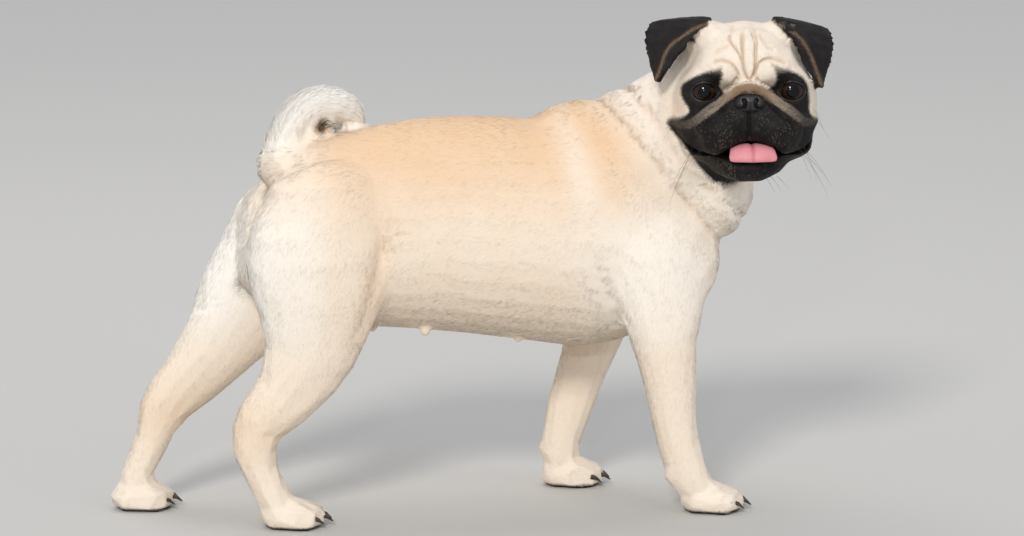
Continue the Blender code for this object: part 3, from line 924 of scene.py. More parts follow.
class PartMap:
    """Which CAD node lies nearest to a place, kept on a grid of small cells."""

    def __init__(self, names: Sequence[str], cell: float = 0.002) -> None:
        """Marks the cells that each node's surface passes, then lets the marks grow into their neighbours.

        Args:
            names: The nodes.
            cell: The cell's side.
        """
        self.names = list(names)
        self.cell = cell
        self.low = np.array(CAD_BOX[0]) - 10 * cell
        size = np.ceil((np.array(CAD_BOX[1]) - self.low) / cell).astype(int) + 10
        self.grid = np.zeros(size, np.int8)
        lattice = [(i / 6, j / 6) for i in range(7) for j in range(7 - i)]
        for number, name in enumerate(self.names, 1):
            points, faces = node_surface(name)
            a, b, c = (points[faces[:, k]] for k in range(3))
            for s, t in lattice:
                self.grid[tuple(self.cells(a + (b - a) * s + (c - a) * t).T)] = number
        for _ in range(7):
            for axis in range(3):
                for step in (-1, 1):
                    grown = np.roll(self.grid, step, axis)
                    self.grid = np.where(self.grid == 0, grown, self.grid)

    def cells(self, points: Array) -> Array:
        """The cell of each point."""
        cells = ((points - self.low) / self.cell).astype(int)
        return np.clip(cells, 0, np.array(self.grid.shape) - 1)

    def look(self, points: Array) -> Array:
        """The number of the nearest node for each point, from 0."""
        return np.maximum(self.grid[tuple(self.cells(points).T)].astype(int) - 1, 0)

    def zones(self, points: Array) -> Array:
        """One column for each zone, 1 where the point belongs to it."""
        starts = [zone.value for zone in Zone]
        order = [[name.startswith(words) for words in starts].index(True) for name in self.names]
        return np.eye(len(starts))[np.array(order)[self.look(points)]]


class Net:
    """The edges of a mesh, used to even out values from point to point."""

    def __init__(self, faces: Array, count: int) -> None:
        """Finds the edges.

        Args:
            faces: Triangles or squares.
            count: How many points the mesh has.
        """
        pairs = np.stack([faces.ravel(), np.roll(faces, -1, axis=1).ravel()], 1).astype(np.int64)
        pairs.sort(axis=1)
        keys = np.unique(pairs[:, 0] * count + pairs[:, 1])
        self.a = keys // count
        self.b = keys % count
        self.count = count
        ends = np.bincount(self.a, minlength=count) + np.bincount(self.b, minlength=count)
        self.share = 1.0 / np.maximum(ends, 1)

    def mean(self, values: Array) -> Array:
        """The mean of each point's neighbours."""
        total = np.empty_like(values)
        for k in range(values.shape[1]):
            here = np.bincount(self.a, values[self.b, k], self.count)
            total[:, k] = (here + np.bincount(self.b, values[self.a, k], self.count)) * self.share
        return total

    def soften(self, values: Array, rounds: int, strength: Array | float) -> Array:
        """Moves values towards their neighbours' mean.

        Args:
            values: One row for each point.
            rounds: How many times.
            strength: How far each time, from 0 to 1.

        Returns:
            The evened values.
        """
        for _ in range(rounds):
            values = values + (self.mean(values) - values) * strength
        return values

    def fair(self, values: Array, rounds: int, strength: Array | float) -> Array:
        """Evens out a shape and keeps its volume: each round goes in, then out again by a little more."""
        for _ in range(rounds):
            values = values + (self.mean(values) - values) * strength
            values = values - (self.mean(values) - values) * strength * 1.04
        return values


# The skin


@dataclass
class Surface:
    """The skin's mesh as arrays, with what is painted on it."""

    points: Array
    faces: Array
    zones: Array = field(default_factory=lambda: np.zeros((0, 0)))
    nodes: Array = field(default_factory=lambda: np.zeros(0))
    lie: Array = field(default_factory=lambda: np.zeros((0, 3)))
    marks: Array = field(default_factory=lambda: np.zeros((0, 4)))
    pale: Array = field(default_factory=lambda: np.zeros(0))

    def normals(self) -> Array:
        """The direction out of the skin at each point."""
        return point_normals(self.points, self.faces)

    def zone(self, zone: Zone) -> Array:
        """How much each point belongs to a zone."""
        return self.zones[:, list(Zone).index(zone)]

    def net(self) -> Net:
        """The skin's edges."""
        return Net(self.faces, len(self.points))

    def facing(self) -> Array:
        """How far the skin at each point looks the way the face looks, from -1 to 1."""
        return (self.normals() @ HEAD.turn())[:, 0]


@dataclass(frozen=True)
class Crease:
    """A line pressed into the face, in millimetres across and up from between the eyes."""

    line: tuple
    depth: float = 1.0
    width: float = 0.9
    tan: float = 0.8

    def gap(self, seen: Array) -> tuple[Array, Array]:
        """Distances to the line in millimetres, and 1 along it falling to 0 at its two ends."""
        gap, along = from_line(seen, smooth_line(self.line))
        return gap, smoothstep(along, -0.02, 0.12) * smoothstep(1.02 - along, 0.0, 0.14)


@dataclass
class FaceForms:
    """The folds, knobs, rolls and outlines of the face, as they are seen from the front."""

    creases: tuple = (
        Crease(
            (
                (-3.9, 44.8), (-4.6, 39.2), (-4.6, 26.8), (-4.2, 19.9), (-2.8, 12.9), (0.3, 8.4),
                (3.4, 12.2), (5.1, 19.2), (5.1, 26.8), (5.5, 33.7), (3.4, 39.9), (0.6, 44.1),
            ),
            1.3,
            1.0,
        ),
        Crease(((-13.6, 41.3), (-12.9, 35.1), (-9.4, 30.2), (-6.6, 26.1), (-4.6, 21.2)), 1.0),
        Crease(((-25.3, 19.9), (-19.8, 21.9), (-14.2, 20.9), (-10.1, 17.8), (-7.3, 12.9), (-6.6, 9.1)), 1.3),
        Crease(
            ((27.3, 17.8), (20.3, 21.6), (14.1, 23.0), (9.3, 21.9), (6.2, 18.5), (4.1, 12.9), (3.7, 9.1)),
            1.3,
        ),
        Crease(((7.9, 39.9), (10.7, 35.1), (14.1, 30.9), (18.3, 28.8)), 0.5, 1.2, 0.45),
        Crease(((4.4, 44.8), (5.1, 37.8), (6.5, 31.6)), 0.5, 1.0, 0.5),
        Crease(((-11.5, 47.5), (-11.5, 40.6)), 0.6, 1.2, 0.5),
        Crease(((-23.9, 26.8), (-17.7, 30.2), (-12.9, 33.0)), 0.5, 1.3, 0.4),
        Crease(((-7.0, 10.6), (-11.5, 4.6), (-17.7, 0.5), (-22.5, -1.5)), 2.0, 1.3, 0.2),
        Crease(((4.0, 10.2), (8.6, 5.3), (15.5, 1.5), (20.5, -0.5)), 2.0, 1.3, 0.2),
    )
    roll_right: tuple = (
        (0.3, 2.6), (-6.6, 1.5), (-12.2, -1.6), (-17.7, -5.0), (-23.2, -9.2), (-28.8, -13.3),
        (-34.3, -17.2), (-39.8, -21.0), (-46.8, -22.3), (-53.0, -19.6),
    )
    roll_left: tuple = (
        (0.3, 2.6), (7.2, 1.2), (12.7, -1.9), (19.6, -6.4), (26.6, -11.3), (33.5, -16.8), (39.0, -21.0),
        (44.5, -21.0),
    )
    under_right: tuple = (
        (-2.0, -1.6), (-11.5, -6.8), (-17.7, -10.6), (-23.2, -14.7), (-28.8, -18.5), (-34.3, -22.3),
        (-39.2, -26.5),
    )
    under_left: tuple = (
        (2.5, -1.6), (12.0, -6.8), (16.9, -10.6), (22.4, -15.1), (27.9, -19.2), (33.5, -23.7),
    )
    mask: tuple = (
        (-17.7, 17.8), (-24.6, 15.7), (-32.9, 12.9), (-39.8, 9.5), (-46.1, 5.3), (-47.1, -0.9),
        (-44.7, -6.4), (-41.2, -12.7), (-46.8, -17.1), (-53.7, -17.6), (-57.1, -21.0), (-53.7, -26.5),
        (-46.8, -34.8), (-39.8, -44.5), (-32.9, -54.2), (-24.6, -62.5), (-15.6, -68.0), (0.3, -70.7),
        (12.0, -69.2), (22.4, -62.9), (32.7, -52.8), (46.4, -42.2), (55.2, -29.3), (52.9, -21.7),
        (42.8, -15.4), (42.1, -4.4), (41.4, 3.3), (38.3, 8.8), (32.8, 12.9), (25.9, 15.7), (15.5, 19.2),
        (17.6, 14.3), (19.0, 8.8), (15.5, 3.3), (8.6, 1.9), (0.3, 0.5), (-8.7, 0.5), (-16.3, -0.9),
        (-19.8, 4.6), (-17.7, 11.6),
    )
    cleft: tuple = ((0.3, -14.0), (0.3, -22.0), (0.3, -31.0))
    ear_rim_right: tuple = (
        (-24.6, 47.5), (-32.9, 46.5), (-39.8, 43.4), (-46.8, 38.5), (-53.7, 33.7), (-58.5, 26.8),
        (-61.3, 18.5), (-64.1, 11.6), (-67.5, 6.0),
    )
    ear_band_right: tuple = (
        (-22.5, 43.8), (-31.9, 38.6), (-41.3, 31.3), (-50.7, 24.8), (-56.5, 16.5), (-60.6, 8.6),
    )
    ear_band_left: tuple = (
        (18.9, 43.8), (27.9, 37.5), (34.8, 31.3), (40.3, 23.0), (43.8, 14.7), (47.2, 6.8),
    )
    ear_rim_left: tuple = (
        (16.9, 47.5), (23.1, 46.1), (29.3, 42.7), (36.2, 37.1), (39.7, 32.3), (44.5, 23.3),
        (48.0, 12.9), (51.5, 3.9),
    )

    def swell(self, seen: Array) -> Array:
        """How far the soft forms stand out: the nose roll, the brow knobs, the middle fold and the lips.

        Each form is a bell across its line or round its middle.

        Args:
            seen: Places on the face in millimetres.

        Returns:
            Heights in metres.
        """
        height = np.zeros(len(seen))
        for line in (self.roll_right, self.roll_left):
            gap, along = from_line(seen, smooth_line(line))
            fade = (1.0 - 0.45 * smoothstep(along, 0.55, 1.0)) * smoothstep(along, -0.12, 0.1)
            height += 2.6 * hump(gap, 3.6) * fade
        for middle, size, tall in (
            ((-14.4, 11.0), 7.0, 2.3),
            ((11.0, 13.0), 6.6, 2.3),
            ((-19.0, -24.0), 13.0, 1.6),
            ((18.5, -24.0), 12.5, 1.6),
        ):
            height += tall * hump(gap_to(seen, middle), size)
        gap, along = from_line(seen, smooth_line(((0.3, 12.0), (0.4, 28.0), (0.3, 44.0))))
        height += 1.3 * hump(gap, 3.6) * smoothstep(along, -0.2, 0.2)
        return height * MM

    def press(self, seen: Array) -> tuple[Array, Array]:
        """How deep the creases are pressed in, and how tan the coat is in them.

        Args:
            seen: Places on the face in millimetres.

        Returns:
            Depths in metres, and the tan from 0 to 1.
        """
        depth = np.zeros(len(seen))
        tan = np.zeros(len(seen))
        for crease in self.creases:
            gap, fade = crease.gap(seen)
            depth += 1.7 * crease.depth * hump(gap, crease.width * 1.1) * fade
            tan = np.maximum(tan, 0.8 * crease.tan * hump(gap, crease.width * 0.9) * fade)
        for line in (self.under_right, self.under_left):
            gap, along = from_line(seen, smooth_line(line))
            depth += 2.0 * hump(gap, 1.4) * smoothstep(1.02 - along, 0.0, 0.2)
        gap, _ = from_line(seen, smooth_line(self.cleft))
        depth += 1.6 * hump(gap, 0.9)
        return depth * MM, tan


@dataclass
class Lids:
    """The lids: the skin round each eye is drawn over the ball to an almond opening."""

    half_width: float = 0.0091
    half_height: float = 0.0064
    point: float = 1.85
    reach: float = math.radians(65)
    span: float = 0.030
    fade: float = 0.014

    def edge(self, turn: Array) -> Array:
        """The angle from the line of sight at which the lids' edge lies.

        The opening is the rounded diamond |across / width|^p + |up / height|^p = 1 on the ball.

        Args:
            turn: The angle round the line of sight.

        Returns:
            The edge's angle from it.
        """
        across = np.abs(np.cos(turn)) / self.half_width
        up = np.abs(np.sin(turn)) / self.half_height
        size = (across**self.point + up**self.point) ** (-1 / self.point)
        return np.arcsin(np.clip(size / EYE_RADIUS, 0, 0.98))

    def centre(self, side: Side) -> Array:
        """The ball's middle in the head's axes."""
        return np.array((-EYE_DEPTH, side.value * EYE_SPREAD, 0.0))

    def clear(self, local: Array, low: float, high: float) -> Array:
        """How clear of both eyes places are.

        Args:
            local: The places in the head's axes.
            low: The height over a ball at which it is 0.
            high: The height over a ball at which it is 1.

        Returns:
            Numbers from 0 to 1.
        """
        clear = np.ones(len(local))
        for side in Side:
            clear *= smoothstep(gap_to(local, self.centre(side)), EYE_RADIUS + low, EYE_RADIUS + high)
        return clear

    def drawn(self, surface: Surface) -> Array:
        """The skin's points with the lids drawn over the eyes.

        Round each ball the skin is turned towards the line of sight, most at the socket's rim and less
        and less away from it, so that the rim comes to lie on the opening's edge.

        Args:
            surface: The skin.

        Returns:
            The moved points.
        """
        local = HEAD.inside(surface.points)
        normals = surface.normals() @ HEAD.turn()
        for side in Side:
            offset = local - self.centre(side)
            far = np.linalg.norm(offset, axis=1)
            tilt = np.arccos(np.clip(offset[:, 0] / np.maximum(far, 1e-9), -1, 1))
            turn = np.arctan2(offset[:, 2], offset[:, 1])
            inner = ((normals * offset).sum(1) < 0) & (far < EYE_RADIUS + 0.0016) & (tilt < 2.4)
            rim = self.rim(tilt[inner], turn[inner])
            start = np.interp(turn, np.linspace(-np.pi, np.pi, len(rim)), rim)
            move = (self.edge(turn) - start) * smoothstep(self.reach - (tilt - start), 0.0, self.reach)
            near = far < self.span
            tilt = np.where(near, tilt + move * smoothstep(self.span - far, 0.0, self.fade), tilt)
            floor = EYE_RADIUS + 0.0004 + 0.0012 * smoothstep(tilt - self.edge(turn), 0.0, 0.45)
            lid = near & ~inner & (tilt < 1.9)
            far = np.where(lid, np.maximum(far, floor), far)
            far = np.where(inner, np.clip(far, EYE_RADIUS + 0.0001, EYE_RADIUS + 0.0005), far)
            ring = np.sin(tilt)
            moved = np.stack([np.cos(tilt), ring * np.cos(turn), ring * np.sin(turn)], 1) * far[:, None]
            local = np.where(near[:, None], self.centre(side) + moved, local)
        return HEAD.outside(local)

    def rim(self, tilt: Array, turn: Array, bins: int = 37) -> Array:
        """The socket's rim as it is: the least angle at which its wall is met, in each direction round.

        Args:
            tilt: The wall points' angles from the line of sight.
            turn: Their angles round it.
            bins: How many directions are told apart.

        Returns:
            The rim's angle in each direction, evened out.
        """
        slot = np.round((turn + np.pi) / (2 * np.pi) * (bins - 1)).astype(int)
        least = np.full(bins, np.pi)
        np.minimum.at(least, slot, tilt)
        least = np.where(least > 3, np.median(least), least)
        least[0] = least[-1] = min(least[0], least[-1])
        for _ in range(2):
            least = (np.roll(least, 1) + 2 * least + np.roll(least, -1)) / 4
        return least


@dataclass
class Skin:
    """The one skin over all the flesh, from the CAD nodes to the finished mesh.

    The three rows of eight numbers go by zone: how much each is faired, how much it is evened out again
    after it has been thinned, and how deep the skin lies under the coat.
    """

    voxel: float = 0.0013
    fair_rounds: int = 26
    fair_share: tuple = (0.85, 0.80, 1.0, 1.0, 1.0, 1.0, 0.85, 0.55)
    even_share: tuple = (0.0, 0.0, 0.8, 1.0, 0.0, 0.9, 0.4, 0.0)
    coat_depth: tuple = (0.0009, 0.0008, 0.0013, 0.0012, 0.0026, 0.0013, 0.0010, 0.0006)
    growth: float = 0.0004
    ear_growth: float = 0.0010
    body_triangles: int = 52000
    evening: int = 12
    ledges: tuple = (((-0.1840, 0.0580, 0.1470), 0.011), ((-0.1890, 0.0680, 0.1460), 0.010))
    face_reach: float = -0.040
    face: FaceForms = field(default_factory=FaceForms)
    lids: Lids = field(default_factory=Lids)
    teats: tuple = (
        (0.034, 0.004, 0.1272),
        (-0.0333, 0.004, 0.1345),
        (-0.0713, 0.004, 0.1390),
        (-0.015, 0.050, 0.1320),
    )
    teat_size: tuple = (0.0052, 0.0048, 0.0066)
    # Size of the ball that fills the tail's curl, painted near black there: a painted shadow, partly the
    # tail's dark hair.
    curl_size: tuple = (0.0125, 0.0080, 0.0110)
    elbow_fold: tuple = ((0.0780, 0.191), (0.0838, 0.174), (0.0933, 0.155), (0.1006, 0.138))
    thigh_fold: tuple = (
        (-0.0660, 0.218), (-0.0696, 0.200), (-0.0732, 0.182), (-0.0783, 0.163), (-0.0842, 0.142),
    )
    fold_depth: float = 0.0026

    def build(self) -> tuple[bpy.types.Object, Surface]:
        """Makes the skin.

        Returns:
            The skin's object and its arrays.
        """
        parts = PartMap([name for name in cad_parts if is_flesh(name)])
        surface = self.joined(parts)
        log.info("joined skin: %d points", len(surface.points))
        surface = self.thinned(surface, parts)
        surface = self.refined(surface, parts)
        log.info("refined skin: %d triangles", len(surface.faces))
        self.read_parts(surface, parts)
        self.sink(surface)
        surface.points = self.lids.drawn(surface)
        self.sculpt_face(surface)
        self.sculpt_body(surface)
        surface.points[:, 2] = np.maximum(surface.points[:, 2], FLOOR_GAP)
        Marks().paint(surface, self.face)
        Lie().comb(surface)
        piece = make_mesh("skin", surface.points, surface.faces)
        paint_points(piece, "marks", surface.marks)
        upright = np.clip(surface.zones[:, 4:].sum(1) - surface.zone(Zone.PAW), 0, 1)
        head = np.clip(surface.zones[:, :2].sum(1) + surface.zone(Zone.PAW), 0, 1)
        paint_points(piece, "strand", np.stack([upright, 0 * upright, surface.pale, head], 1))
        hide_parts(*parts.names)
        return piece, surface

    def joined(self, parts: PartMap) -> Surface:
        """The flesh nodes grown by a hair's breadth so that they meet, and joined into one even skin.

        Args:
            parts: The map of the nodes.

        Returns:
            The skin as squares.
        """
        points, faces, count = [], [], 0
        for name in parts.names:
            own, corners = node_surface(name)
            grown = self.ear_growth if name.startswith("ear") else self.growth
            points.append(own + point_normals(own, corners) * grown)
            faces.append(corners + count)
            count += len(own)
        # Balls for the teats, and one that fills the tail's curl and is painted dark as a painted shadow,
        # partly dark hair.
        for middle, size in [(place, self.teat_size) for place in self.teats] + [(TAIL_EYE, self.curl_size)]:
            rings = np.array(middle) + ball_directions(14, 16) * np.array(size)
            own, corners = round_grid(rings)
            points.append(own)
            faces.append(outward(own, corners) + count)
            count += len(own)
        raw = make_mesh("raw_skin", np.vstack(points), np.vstack(faces))
        step = raw.modifiers.new("even", "REMESH")
        step.mode = "VOXEL"
        step.voxel_size = self.voxel
        points, faces = self.applied(raw)
        share = 0.55 * (parts.zones(points) @ np.array(self.fair_share))
        return Surface(Net(faces, len(points)).fair(points, self.fair_rounds, share[:, None]), faces)

    def applied(self, piece: bpy.types.Object) -> tuple[Array, Array]:
        """The arrays of a working piece after its modifiers, and the piece is gone.

        Args:
            piece: The working piece.

        Returns:
            The points and the faces.
        """
        shaped = piece.evaluated_get(bpy.context.evaluated_depsgraph_get())
        arrays = mesh_arrays(shaped.to_mesh())
        shaped.to_mesh_clear()
        own = piece.data
        bpy.data.objects.remove(piece)
        bpy.data.meshes.remove(own)
        return arrays

    def thinned(self, surface: Surface, parts: PartMap) -> Surface:
        """Fewer and larger triangles on the body, while the head keeps its own.

        Args:
            surface: The skin as squares.
            parts: The map of the nodes.

        Returns:
            The skin as triangles.
        """
        zones = parts.zones(surface.points)
        front = HEAD.inside(surface.points)[:, 0] > self.face_reach
        kept = ((zones[:, 0] > 0.5) & front) | (zones[:, 1] > 0.5)
        four = surface.faces
        faces = np.vstack([four[:, [0, 1, 2]], four[:, [0, 2, 3]]])
        held = kept[faces].all(1).sum()
        piece = make_mesh("thick_skin", surface.points, faces)
        group = piece.vertex_groups.new(name="free")
        group.add(np.flatnonzero(~kept).tolist(), 1.0, "REPLACE")
        step = piece.modifiers.new("thin", "DECIMATE")
        step.ratio = (held + self.body_triangles) / len(faces)
        step.vertex_group = "free"
        step.vertex_group_factor = 1.0
        step.use_collapse_triangulate = True
        points, faces = self.applied(piece)
        net = Net(faces, len(points))
        zones = parts.zones(points)
        points = net.fair(points, 3, (0.4 * (1.0 - zones[:, :2].sum(1)))[:, None])
        broad = zones @ np.array(self.even_share)
        for teat in self.teats:
            broad *= smoothstep(gap_to(points, teat), 0.007, 0.014)
        points = net.fair(points, self.evening, (0.5 * broad)[:, None])
        for place, size in self.ledges:
            points = net.soften(points, self.evening, 0.5 * hump(gap_to(points, place), size)[:, None])
        return Surface(points, faces)

    def refined(self, surface: Surface, parts: PartMap) -> Surface:
        """The face's triangles each cut in four, for its folds.

        Args:
            surface: The skin as triangles.
            parts: The map of the nodes.

        Returns:
            The skin with a finer face.
        """
        local = HEAD.inside(surface.points)
        seen = HEAD.seen(surface.points)
        front = (local[:, 0] > -0.020) & (np.abs(seen[:, 0]) < 44) & (seen[:, 1] > -42) & (seen[:, 1] < 48)
        front &= parts.zones(surface.points)[:, 0] > 0.5
        work = bmesh.new()
        raw = make_mesh("coarse_face", surface.points, surface.faces)
        work.from_mesh(raw.data)
        own = raw.data
        bpy.data.objects.remove(raw)
        work.verts.ensure_lookup_table()
        edges = [edge for edge in work.edges if front[edge.verts[0].index] and front[edge.verts[1].index]]
        bmesh.ops.subdivide_edges(work, edges=edges, cuts=1, use_grid_fill=True)
        bmesh.ops.triangulate(work, faces=work.faces[:])
        work.to_mesh(own)
        work.free()
        points, faces = mesh_arrays(own)
        bpy.data.meshes.remove(own)
        net = Net(faces, len(points))
        near = smoothstep(HEAD.inside(points)[:, 0], -0.034, -0.024) * parts.zones(points)[:, 0]
        return Surface(net.fair(points, 4, (0.5 * near)[:, None]), faces)

    def read_parts(self, surface: Surface, parts: PartMap) -> None:
        """Notes which zone and node each point belongs to, with soft borders between zones.

        Args:
            surface: The skin.
            parts: The map of the nodes.
        """
        surface.nodes = parts.look(surface.points)
        net = surface.net()
        near = net.soften(parts.zones(surface.points), 6, 0.6)
        wide = net.soften(near, 26, 0.7)
        head = np.clip(near[:, :2].sum(1, keepdims=True), 0, 1)
        surface.zones = wide * (1.0 - head) + near * head

    def sink(self, surface: Surface) -> None:
        """Moves the skin in by the coat's depth, less and less towards the eyes.

        Args:
            surface: The skin.
        """
        depth = surface.zones @ np.array(self.coat_depth)
        depth *= self.lids.clear(HEAD.inside(surface.points), 0.0008, 0.006)
        net = surface.net()
        normals = unit(net.soften(surface.normals(), 3, 0.5))
        surface.points = surface.points - normals * depth[:, None]

    def sculpt_face(self, surface: Surface) -> None:
        """Raises the face's soft forms, then presses its creases, each along the way out of the skin.

        Args:
            surface: The skin.
        """
        local = HEAD.inside(surface.points)
        work = (surface.zone(Zone.HEAD) > 0.05) & (local[:, 0] > -0.045)
        net = surface.net()
        for stage in ("swell", "press"):
            normals = unit(net.soften(surface.normals(), 3, 0.5))
            facing = smoothstep((normals @ HEAD.turn())[:, 0], -0.05, 0.35)
            weight = facing * self.lids.clear(local, 0.001, 0.0045) * surface.zone(Zone.HEAD)
            seen = HEAD.seen(surface.points[work])
            height = np.zeros(len(local))
            height[work] = self.face.swell(seen) if stage == "swell" else -self.face.press(seen)[0]
            surface.points = surface.points + normals * (height * weight)[:, None]
        self.hang_lips(surface)
        self.close_ears(surface)
        self.fold_ears(surface)

    def hang_lips(self, surface: Surface) -> None:
        """Lets the two sides of the upper lip hang lower beside the tongue, in a bell round each.

        Args:
            surface: The skin.
        """
        seen = HEAD.seen(surface.points)
        local = HEAD.inside(surface.points)
        drop = np.zeros(len(seen))
        for across, much in ((-21.0, 3.0), (23.5, 2.6)):
            drop += much * hump(seen[:, 0] - across, 9.5) * hump(seen[:, 1] + 35.0, 5.0)
        across = np.abs(seen[:, 0] - 1.5)
        beside = smoothstep(across, 15.0, 25.0) * smoothstep(50.0 - across, 0.0, 5.0)
        upper = smoothstep(surface.normals() @ HEAD.turn()[:, 2], -0.9, -0.2)
        drop += 3.4 * beside * hump(seen[:, 1] + 38.0, 5.5)
        drop -= 3.0 * beside * hump(seen[:, 1] + 49.0, 4.5) * upper
        drop *= surface.zone(Zone.HEAD) * smoothstep(local[:, 0], -0.036, -0.020)
        local[:, 2] -= drop * MM
        surface.points = HEAD.outside(local)

    def fold_ears(self, surface: Surface) -> None:
        """Raises the ears' front folds along their rims, and sinks the band between rim and skull.

        Args:
            surface: The skin.
        """
        seen = HEAD.seen(surface.points)
        facing = smoothstep(surface.facing(), 0.1, 0.5) * surface.zone(Zone.EAR)
        height = np.zeros(len(seen))
        for rim, band in (
            (self.face.ear_rim_right, self.face.ear_band_right),
            (self.face.ear_rim_left, self.face.ear_band_left),
        ):
            height += 1.1 * hump(from_line(seen, smooth_line(rim, 4))[0], 1.8)
            height -= 1.7 * hump(from_line(seen, smooth_line(band, 4))[0], 2.6)
        surface.points = surface.points + surface.normals() * (height * facing * MM)[:, None]

    def close_ears(self, surface: Surface) -> None:
        """Draws the left ear's front edge in against the skull, in a bell round its middle.

        Args:
            surface: The skin.
        """
        seen = HEAD.seen(surface.points)
        local = HEAD.inside(surface.points)
        near = hump(gap_to(seen, (43.0, 17.0)), 10.0) * surface.zone(Zone.EAR)
        local[:, 1] -= 0.0042 * near
        local[:, 0] -= 0.0040 * near
        surface.points = HEAD.outside(local)

    def sculpt_body(self, surface: Surface) -> None:
        """Presses the neck's folds as rings across its axis, and lets the rolls between them swell.

        Args:
            surface: The skin.
        """
        normals = surface.normals()
        deep, soft = neck_rings(surface.points)
        body = surface.zone(Zone.NECK) + 0.5 * surface.zone(Zone.TRUNK)
        body = body * smoothstep(surface.points[:, 0], 0.05, 0.09)
        height = -0.0024 * hump(deep, 0.0026) + 0.0011 * hump(deep + 0.011, 0.007)
        height += -0.0013 * hump(soft, 0.0022) + 0.0006 * hump(soft + 0.010, 0.007)
        surface.points = surface.points + normals * (height * body)[:, None]
        flat = surface.points[:, [0, 2]]
        side = smoothstep(np.abs(normals[:, 1]), 0.2, 0.6) * (1.0 - surface.zones[:, :2].sum(1))
        for line, width in ((self.elbow_fold, 0.0040), (self.thigh_fold, 0.0050)):
            gap, along = from_line(flat, smooth_line(line))
            press = self.fold_depth * hump(gap, width) * smoothstep(along, -0.1, 0.3)
            surface.points = surface.points - normals * (press * side)[:, None]


